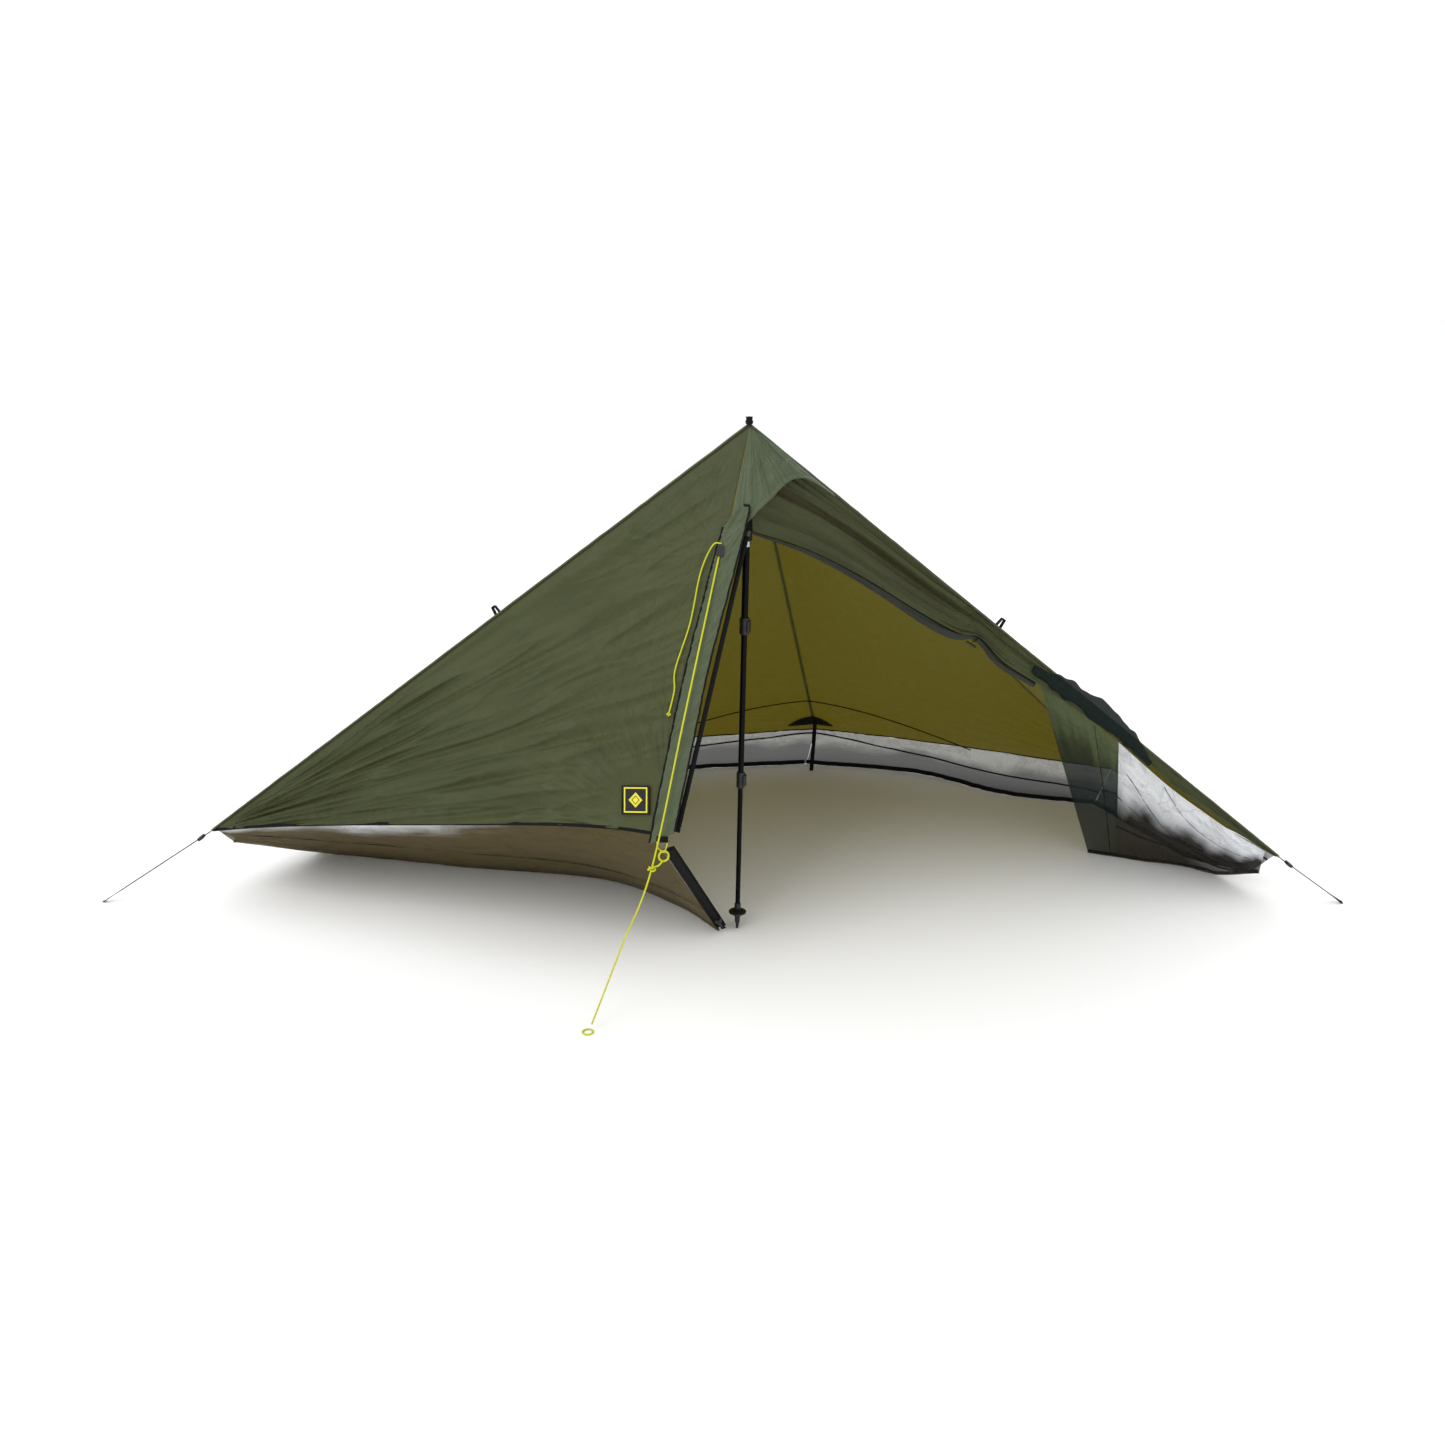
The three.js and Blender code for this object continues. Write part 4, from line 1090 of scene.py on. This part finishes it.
# Each net: imported node, top and foot lines, bulge way, pale share, and thin black lines as (along, down)
# shares.
NETS = {
    "mesh_front_left": dict(
        node="net_front_left", kind=SUN_NET, out=(0, -1, 0.2),
        top=below(front_hem, (0.012, 0.2, 0.45, 0.7, 0.86, 0.965)),
        foot=grounded(
            (-1.330, 0.200, 0.150), (-1.140, 0.455), (-0.770, 0.370), (-0.370, 0.290), (-0.160, 0.130),
            (-0.045, -0.022),
        ),
        pale=(0.42, 0.10), lines=[[(0.0, 0.3), (0.5, 0.62), (1.0, 0.75)]],
    ),
    "mesh_left_end": dict(
        node="net_left_end", kind=DARK_NET, out=(-1, 0, 0.2),
        top=below(plain_hem(LEFT_CORNER, REAR_LEFT), (0.01, 0.35, 0.65, 0.999)),
        foot=grounded((-1.320, 0.230, 0.140), (-1.190, 0.490), (-1.080, 0.720), (-0.972, 0.920)),
        pale=(1.0, 0.55), lines=[[(0.0, 0.2), (0.5, 0.5), (1.0, 0.4)]],
    ),
    "mesh_rear_left": dict(
        node="net_rear_left", kind=DARK_NET, out=(0, 1, 0.2),
        top=below(plain_hem(REAR_LEFT, REAR_CENTRE), (0.001, 0.35, 0.68, 0.999)),
        foot=grounded((-0.972, 0.920), (-0.560, 1.060), (-0.150, 1.170), (0.252, 1.2255)),
        pale=(1.1, 0.4), lines=[[(0.1, 0.25), (0.55, 0.42), (1.0, 0.12)]],
    ),
    "mesh_rear_right": dict(
        node="net_rear_right", kind=DARK_NET, out=(0, 1, 0.2),
        top=below(plain_hem(REAR_CENTRE, REAR_RIGHT), (0.001, 0.35, 0.66, 0.999)),
        foot=grounded((0.252, 1.2255), (0.620, 1.130), (0.870, 0.935), (1.140, 0.848)),
        pale=(1.1, 0.46), lines=[[(0.0, 0.12), (0.35, 0.5), (0.75, 0.62), (1.0, 0.7)]],
    ),
    "mesh_right_end": dict(
        node="net_right_end", kind=DARK_NET, out=(1, 0, 0.2),
        top=below(plain_hem(REAR_RIGHT, RIGHT_CORNER), (0.001, 0.35, 0.65, 0.985)),
        foot=grounded((1.140, 0.848), (1.215, 0.640), (1.290, 0.440), (1.385, 0.230, 0.050)),
        pale=(1.1, 0.5), lines=[[(0.0, 0.6), (0.5, 0.5), (1.0, 0.3)]],
    ),
    "mesh_front_right": dict(
        node="net_front_right", kind=DARK_NET, out=(0, -1, 0.2),
        top=list(door_side([0.67, 0.77, 0.84, 0.91, 0.975], [0.035, 0.043, 0.038, 0.028, 0.012], -0.005)),
        foot=grounded((1.092, 0.440), (1.160, 0.410), (1.250, 0.380), (1.330, 0.320), (1.395, 0.200, 0.060)),
        pale=(1.0, 0.42), lines=[[(0.0, 0.45), (0.4, 0.6), (0.9, 0.8)],
                                 [(0.25, 0.05), (0.5, 0.3), (0.95, 0.45)],
               [(0.0, 0.72), (0.5, 0.74), (0.97, 0.9)], [(0.05, 0.2), (0.4, 0.56), (0.92, 0.66)]],
    ),
    "mesh_door": dict(
        node="net_door", kind=DOOR_NET, out=(0, -1, 0.2),
        top=list(door_side([0.515, 0.59, 0.672], [0.03, 0.034, 0.036], [-0.014, -0.012, -0.005])),
        foot=grounded((1.018, 0.470), (1.050, 0.456), (1.092, 0.440)),
        pale=(1.1, 0.22), lines=[[(0.72, 0.02), (0.74, 0.5), (0.8, 0.96)]],
    ),
}


def net_surface(top, foot, out, pale, seed):
    """A net's grid: ruled from its top line to its foot, bellied out, with slanting creases."""
    columns, rows = NET_GRID
    top, foot = smooth_line(top, columns), smooth_line(foot, columns)
    w = np.linspace(0, 1, rows)[:, None]
    grid = top + w[..., None] * (foot - top)
    length = measured(top)
    x, tall = length, np.linalg.norm(foot - top, axis=1) * w
    slack = folds(x * 3.0 + tall * 9, tall * 16 - x * 2, seed) * 0.010
    slack = slack + folds(x * 9 - tall * 14, tall * 26, seed + 3) * 0.0045
    gather = folds(x * 30, w * 1.5, seed + 7) * 0.007 * eased(w, 0.25, 1.0)
    edge = eased(w, 0, 0.15) * eased(1 - w, 0, 0.08)
    edge = edge * eased(length, 0, 0.04) * eased(length[-1] - length, 0, 0.04)
    belly = 0.012 * np.sin(np.pi * w)
    grid = grid + (edge * (slack + belly) + gather * eased(1 - w, -0.2, 0.2))[..., None] * unit(out)
    grid[..., 2] = np.maximum(grid[..., 2], GROUND)
    # Painted daylight: the net's upper share, ragged by noise, takes its pale colour.
    reach, drop = pale
    s = np.linspace(0, 1, columns)
    wander = 0.10 * noise(s * 9, 0.5, seed + 11)
    painted_lighting = eased(drop + wander - w, -0.16, 0.2) * eased(reach + 0.05 - s, -0.12, 0.12)
    return grid, painted_lighting + 0.14 * noise(x * 12, tall * 30, seed + 13) * (painted_lighting > 0.02)


def follow(grid, shares):
    """A line over a grid through (along, down) shares of it."""
    route = smooth_line([(a, d, 0) for a, d in shares], 60)
    rows, columns = grid.shape[:2]
    i = np.clip(route[:, 1] * (rows - 1), 0, rows - 1).astype(int)
    j = np.clip(route[:, 0] * (columns - 1), 0, columns - 1).astype(int)
    line = grid[i, j]
    for _ in range(4):
        line[1:-1] = (line[:-2] + line[1:-1] + line[2:]) / 3
    return line


class SHELTER_OT_nets(ShelterOperator, bpy.types.Operator):
    """Make the mosquito nets with their foot bands and thin black lines."""

    bl_idname = "shelter.nets"
    bl_label = "Nets"

    def execute(self, context):
        """Ruled sheets from the hems to the ground, then bands swept along their edges."""
        for k, (name, net) in enumerate(NETS.items()):
            grid, painted_lighting = net_surface(net["top"], net["foot"], net["out"], net["pale"], 300 + 20 * k)
            sheet = settle(
                skin(name, grid, netting(*net["kind"]), facing=net["out"], painted_lighting=painted_lighting), "canopy", "net",
                net["node"],
            )
            foot = grid[-1].copy()
            foot[:, 2] += 0.45 * self.sizes.net_band
            lean = unit(grid[-1] - grid[-10])
            stem = name.replace("mesh_", "")
            settle(
                swept(
                    "band_" + stem, foot[::2], self.sizes.net_band, 0.003, lean[::2], webbing(), square=0.6,
                ),
                "canopy", "net",
            )
            for number, shares in enumerate(net["lines"]):
                line = follow(grid, shares) + (0, 0, 0.001) - 0.002 * unit(net["out"])
                settle(swept(f"line_{stem}_{number}", line, 0.0055, 0.002, UP, webbing()), "canopy", "net")
        door_top = smooth_line(
            door_side([0.5, 0.56, 0.62, 0.68, 0.73], [0.03, 0.012, 0.004, 0.008, 0.03], 0.004), 120,
        )
        swell = np.linspace(0.15, np.pi - 0.15, 120)
        width = 0.05 * np.sin(swell) ** 0.6 * (1 + 0.3 * noise(swell * 5, 0.5, 611))
        settle(
            swept("mesh_bunch", door_top, width, width * 0.55, (0, 0.2, 1), netting(*DOOR_NET), sides=40),
            "canopy", "net",
        )
        return {"FINISHED"}


# ---------------------------------------------------------------- webbing and trim

STRAPS = {
    "left_end": (LEFT_CORNER, at(-1.679, 0.150, 0)), "right_end": (RIGHT_CORNER, at(1.603, 0.144, 0)),
    "rear_left": (REAR_LEFT, at(-1.180, 1.105, 0)), "rear_right": (REAR_RIGHT, at(1.360, 1.045, 0)),
}
STRAP_WIDTH, STRAP_WALL = 0.013, 0.0016
NET_ZIP = (at(-0.154, -0.243, 0.322), at(-0.034, -0.030, 0.014))
BADGE_AT = left_front(0.075, 0.832, 0.004)
BADGE = (0.068, 0.064)
ARCH_STEPS = 60


def inside_rear(turn, outward_share, upward, depth):
    """Points inside the rear panels: out along the hem, up towards the peak, then in towards HEART."""
    turn, outward_share, upward = np.broadcast_arrays(turn, outward_share, upward)
    corner = np.where(turn[..., None] < 0, REAR_LEFT, REAR_RIGHT)
    hem = REAR_CENTRE + (outward_share * np.abs(turn))[..., None] * (corner - REAR_CENTRE)
    wall = hem + upward[..., None] * (PEAK - hem)
    return wall + depth * (HEART - wall)


def badge_cloth():
    """A woven patch: black damask with a plain yellow diamond inside a stitched square."""
    material, tree, output = blank("patch_woven")
    uv = add(tree, "ShaderNodeTexCoord").outputs["UV"]
    split = add(tree, "ShaderNodeSeparateXYZ", {0: uv})
    middle = []
    for socket, size in zip(split.outputs[:2], BADGE):
        off = add(tree, "ShaderNodeMath", {0: socket, 1: size / 2}, operation="SUBTRACT").outputs[0]
        middle.append(add(tree, "ShaderNodeMath", {0: off}, operation="ABSOLUTE").outputs[0])
    square = add(tree, "ShaderNodeMath", {0: middle[0], 1: middle[1]}, operation="MAXIMUM").outputs[0]
    diamond = add(tree, "ShaderNodeMath", {0: middle[0], 1: middle[1]}, operation="ADD").outputs[0]
    frame_line = add(
        tree, "ShaderNodeMath", {0: square, 1: 0.0275, 2: 0.0017}, operation="COMPARE",
    ).outputs[0]
    shape = add(tree, "ShaderNodeMath", {0: diamond, 1: 0.0175}, operation="LESS_THAN").outputs[0]
    gap = add(tree, "ShaderNodeMath", {0: diamond, 1: 0.0095, 2: 0.0012}, operation="COMPARE").outputs[0]
    shape = add(tree, "ShaderNodeMath", {0: shape, 1: gap}, operation="SUBTRACT").outputs[0]
    drawn = add(
        tree, "ShaderNodeMath", {0: shape, 1: frame_line}, operation="MAXIMUM", use_clamp=True,
    ).outputs[0]
    weave = add(
        tree, "ShaderNodeTexWave", {"Vector": uv, "Scale": 260.0}, wave_type="BANDS",
        bands_direction="DIAGONAL",
    ).outputs["Fac"]
    colour = add(
        tree, "ShaderNodeMix", {"Factor": drawn, "A": linear("#0d0d0f"), "B": linear("#d9cf35")},
        data_type="RGBA",
    )
    bump = add(tree, "ShaderNodeBump", {"Height": weave, "Strength": 0.5, "Distance": 0.0004})
    face = add(
        tree, "ShaderNodeBsdfPrincipled",
        {"Base Color": colour.outputs["Result"], "Roughness": 0.75, "Normal": bump.outputs["Normal"]},
    )
    tree.links.new(face.outputs["BSDF"], output.inputs["Surface"])
    return material


class SHELTER_OT_trim(ShelterOperator, bpy.types.Operator):
    """Make the straps, the sewn line, the rear patch, the net's zip and the badge."""

    bl_idname = "shelter.trim"
    bl_label = "Webbing and trim"

    def execute(self, context):
        """Flat bands that twist towards their pegs, a line under the rear wall, and two small patches."""
        black = webbing()
        for name, (corner, foot) in STRAPS.items():
            way = unit(foot - corner)
            side = unit(np.cross(UP, way))
            t = np.linspace(0, 1, 80)
            line = blend_between(corner + 0.005 * way, foot, t)
            twist = np.radians(16) * eased(t, 0.8, 1.0)
            lift = np.cross(way, side)
            across = np.cos(twist)[:, None] * side + np.sin(twist)[:, None] * lift
            line[:, 2] = np.maximum(line[:, 2], GROUND + STRAP_WIDTH / 2 * np.abs(across[:, 2]))
            settle(
                swept("webbing_" + name, line, STRAP_WIDTH, STRAP_WALL, across, black, square=0.45, sides=16),
                "canopy", "webbing", name + "_strap",
            )
        low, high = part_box("rear_centre_strap")
        y = middle_of("rear_centre_strap")[1]
        top = np.array((high[0] - STRAP_WIDTH / 2, y, high[2]))
        foot = np.array((low[0] + STRAP_WIDTH / 2, y, GROUND))
        hub = smooth_line([top, (top + foot) / 2 + (0, -0.002, 0), foot], 50)
        settle(
            swept(
                "webbing_rear_centre", hub, STRAP_WIDTH, STRAP_WALL, (1, 0, 0), black, square=0.45, sides=16,
            ),
            "canopy", "webbing", "rear_centre_strap",
        )

        turn = np.linspace(-1, 1, ARCH_STEPS)
        reach = np.where(turn < 0, 0.85, 1.0) * 0.56
        arch = inside_rear(turn, reach, 0.012 + 0.135 * (1 - turn**2), 0.02)
        settle(swept("sewn_arch", arch, 0.0036, 0.0036, UP, black), "canopy", "webbing", "rear_arch_line")

        t, w = np.meshgrid(np.linspace(-1, 1, 60), np.linspace(0, 1, 14))
        patch = inside_rear(t, 0.07, 0.028 + w * 0.034 * (1.15 - t**2), 0.006)
        patch = patch + (0.0012 * noise(t * 9, w * 3, 501))[..., None] * np.array((0, -1, 0))
        pad = settle(
            skin("hub_patch", patch, black, facing=(0, -1, 0)), "canopy", "webbing", "rear_hub_patch",
        )

        zip_top, zip_foot = NET_ZIP
        tape = blend_between(zip_top, zip_foot, np.linspace(0, 1, 90))
        wide = unit(
            np.array((1, 0.15, 0)) - unit(zip_foot - zip_top) * (unit(zip_foot - zip_top) @ (1, 0.15, 0))
        )
        behind = np.cross(unit(zip_foot - zip_top), wide)
        behind = behind if behind[1] > 0 else -behind
        settle(
            swept("net_zip_tape", tape, *ZIP_TAPE, wide, black, square=0.4), "canopy", "webbing", "net_zip",
        )
        settle(swept("net_zip_coil", tape, *ZIP_COIL, wide, black), "canopy", "webbing")
        settle(
            swept(
                "net_zip_flap", tape + 0.008 * behind - 0.006 * wide, 0.028, 0.0014, wide, black, square=0.4,
            ),
            "canopy", "webbing",
        )

        x, y = np.meshgrid(np.linspace(-0.5, 0.5, 40) * BADGE[0], np.linspace(-0.5, 0.5, 40) * BADGE[1])
        level = unit(np.array((1.0, 0, 0)) - LEFT_FRONT_OUT[0] * LEFT_FRONT_OUT)
        rise = np.cross(LEFT_FRONT_OUT, level)
        bow = 0.0012 * noise(x * 40, y * 40, 511) + 0.001
        grid = BADGE_AT + x[..., None] * level + y[..., None] * rise + bow[..., None] * LEFT_FRONT_OUT
        chart = np.stack([x + BADGE[0] / 2, y + BADGE[1] / 2], -1)
        patch = settle(
            skin("woven_patch", grid, badge_cloth(), facing=LEFT_FRONT_OUT, chart=chart), "canopy", "badge",
            "badge",
        )
        rim_turn = [(-1, -1), (1, -1), (1, 1), (-1, 1), (-1, -1)]
        raised = BADGE_AT + 0.001 * LEFT_FRONT_OUT
        rim = [raised + a * BADGE[0] / 2 * level + b * BADGE[1] / 2 * rise for a, b in rim_turn]
        stitched = np.concatenate([blend_between(p, q, np.linspace(0, 1, 20)) for p, q in zip(rim, rim[1:])])
        settle(swept("patch_edge", stitched, 0.0026, 0.0022, LEFT_FRONT_OUT, black), "canopy", "badge")
        return {"FINISHED"}


# ---------------------------------------------------------------- trekking pole

POLE_FOOT = at(0, 0, 0.00006)
POLE_WAY = unit(PEAK - at(0, 0, 0))
MM = 0.001


def tube(outer, inner, bottom, top, bevel=0.4):
    """A tube's half profile in millimetres, closed on itself, with small bevels outside."""
    return [
        (inner, bottom), (outer - bevel, bottom), (outer, bottom + bevel), (outer, top - bevel),
        (outer - bevel, top),
        (inner, top), (inner, bottom),
    ]


def ribbed_grip():
    """The grip's half profile: a foam sleeve with shallow rings under a swelling head."""
    z = np.linspace(992, 1130, 70)
    sleeve = 13.4 - 0.7 * (0.5 + 0.5 * np.cos(2 * np.pi * z / 8.5)) ** 3 - 0.8 * eased(z, 1100, 1130)
    head = [(12.6, 1134), (13.8, 1144), (14.5, 1152), (13.6, 1164), (11, 1178), (8.6, 1190), (7, 1197),
            (4.5, 1206),
            (3.0, 1211), (0, 1212)]
    return [(8.35, 990), (12.2, 990), *zip(sleeve, z), *head, (0, 1196.4), (8.35, 1196.4), (8.35, 990)]


POLE_PARTS = {
    "tip": ("pole_tip", "pole_lower", "plastic", acetal, [
        (0, 0), (2.2, 0), (3, 0.8), (4.3, 13), (6.0, 19), (6.2, 21), (6.2, 29), (7.6, 33), (8, 34), (8, 40),
        (7.6, 41),
        (6.6, 43), (6.6, 50), (7.7, 52.6), (8, 53.4), (8, 69), (7.4, 70), (0, 70),
    ]),
    "basket": ("pole_basket", "pole_lower", "plastic", acetal, [
        (7.2, 44.2), (14, 43.9), (21, 43.9), (22, 44.6), (22, 47.2), (21.2, 48), (14, 47.4), (10, 49.4),
        (7.2, 49.8),
        (7.2, 44.2),
    ]),
    "tube_lower": (
        "lower_shaft", "pole_lower", "shaft", anodised,
        [(0, 70.4), (5.6, 70.4), (6, 70.8), (6, 560), (0, 560)],
    ),
    "tube_middle": ("middle_shaft", "pole_middle", "shaft", anodised, tube(7, 6.4, 392, 930)),
    "tube_upper": ("upper_shaft", "canopy", "shaft", anodised, tube(8, 7.4, 772, 1196)),
    "collar_upper": ("upper_lock", "canopy", "plastic", acetal, [
        (8.35, 768), (10.2, 768), (11.2, 769.5), (11.5, 772), (11.5, 786), (10.9, 787), (10.9, 789),
        (11.5, 790),
        (11.5, 804), (11.1, 806.5), (10.0, 808), (8.35, 808), (8.35, 768),
    ]),
    "collar_lower": ("lower_lock", "pole_middle", "plastic", acetal, [
        (7.35, 382), (9.2, 382), (10.2, 383.5), (10.5, 386), (10.5, 400), (9.9, 401), (9.9, 403), (10.5, 404),
        (10.5, 418), (10.1, 420.5), (9.0, 422), (7.35, 422), (7.35, 382),
    ]),
    "ferrule": ("grip_ferrule", "canopy", "steel", bare_steel, tube(10.5, 8.35, 976, 989.6, 0.8)),
    "grip": ("pole_grip", "canopy", "foam", foam_grip, ribbed_grip()),
}


class SHELTER_OT_pole(ShelterOperator, bpy.types.Operator):
    """Make the telescopic trekking pole."""

    bl_idname = "shelter.pole"
    bl_label = "Trekking pole"

    def execute(self, context):
        """Half profiles turned round the pole's leaning axis, each on the section that it slides with."""
        for name, (node, body, slot_name, finish, profile) in POLE_PARTS.items():
            piece = turned("trekking_" + name, np.array(profile) * MM, POLE_FOOT, POLE_WAY, finish())
            piece.data.set_sharp_from_angle(angle=0.7)
            settle(piece, body, slot_name, node)
        return {"FINISHED"}


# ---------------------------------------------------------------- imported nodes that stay

KEPT_FINISHES = {
    acetal: [
        "door_zip_slider", "door_zip_pull", "net_zip_slider", "net_zip_pull", "left_end_adjuster",
        "right_end_adjuster",
        "rear_left_adjuster", "rear_right_adjuster", "line_tensioner", "roll_toggle", "upper_lever",
        "lower_lever",
    ],
    webbing: ["left_tieout_loop", "right_tieout_loop", "peak_tab", "corner_tab", "roll_loop"],
}


class SHELTER_OT_fittings(ShelterOperator, bpy.types.Operator):
    """Give the small packed fittings their finishes."""

    bl_idname = "shelter.fittings"
    bl_label = "Fittings"

    def execute(self, context):
        """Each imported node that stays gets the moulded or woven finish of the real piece."""
        for finish, nodes in KEPT_FINISHES.items():
            for node in nodes:
                slots = NODES[node].data.materials
                slots.clear()
                slots.append(finish())
        return {"FINISHED"}


# ---------------------------------------------------------------- panel, registration and the run

STEPS = (
    SHELTER_OT_stage, SHELTER_OT_cords, SHELTER_OT_canopy, SHELTER_OT_door, SHELTER_OT_nets, SHELTER_OT_trim,
    SHELTER_OT_pole, SHELTER_OT_fittings,
)


class SHELTER_PT_sidebar(bpy.types.Panel):
    """The shelter's settings and steps."""

    bl_idname = "SHELTER_PT_sidebar"
    bl_label = "Pyramid shelter"
    bl_space_type = "VIEW_3D"
    bl_region_type = "UI"
    bl_category = "Shelter"

    def draw(self, context):
        """The sizes and colours, then a button for each step."""
        layout = self.layout
        for group in (context.scene.shelter_sizes, context.scene.shelter_colours):
            for key in group.__annotations__:
                layout.prop(group, key)
        for step in STEPS:
            layout.operator(step.bl_idname)


CLASSES = (ShelterSizes, ShelterColours, *STEPS, SHELTER_PT_sidebar)


def register():
    """Adds the classes and their settings."""
    for made in CLASSES:
        bpy.utils.register_class(made)
    bpy.types.Scene.shelter_sizes = PointerProperty(type=ShelterSizes)
    bpy.types.Scene.shelter_colours = PointerProperty(type=ShelterColours)


def unregister():
    """Takes the classes and their settings away."""
    del bpy.types.Scene.shelter_colours
    del bpy.types.Scene.shelter_sizes
    for made in reversed(CLASSES):
        bpy.utils.unregister_class(made)


def main():
    """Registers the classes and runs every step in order."""
    register()
    for step in STEPS:
        group, name = step.bl_idname.split(".")
        getattr(getattr(bpy.ops, group), name)()
    bpy.context.view_layer.update()


if __name__ == "__main__":
    main()
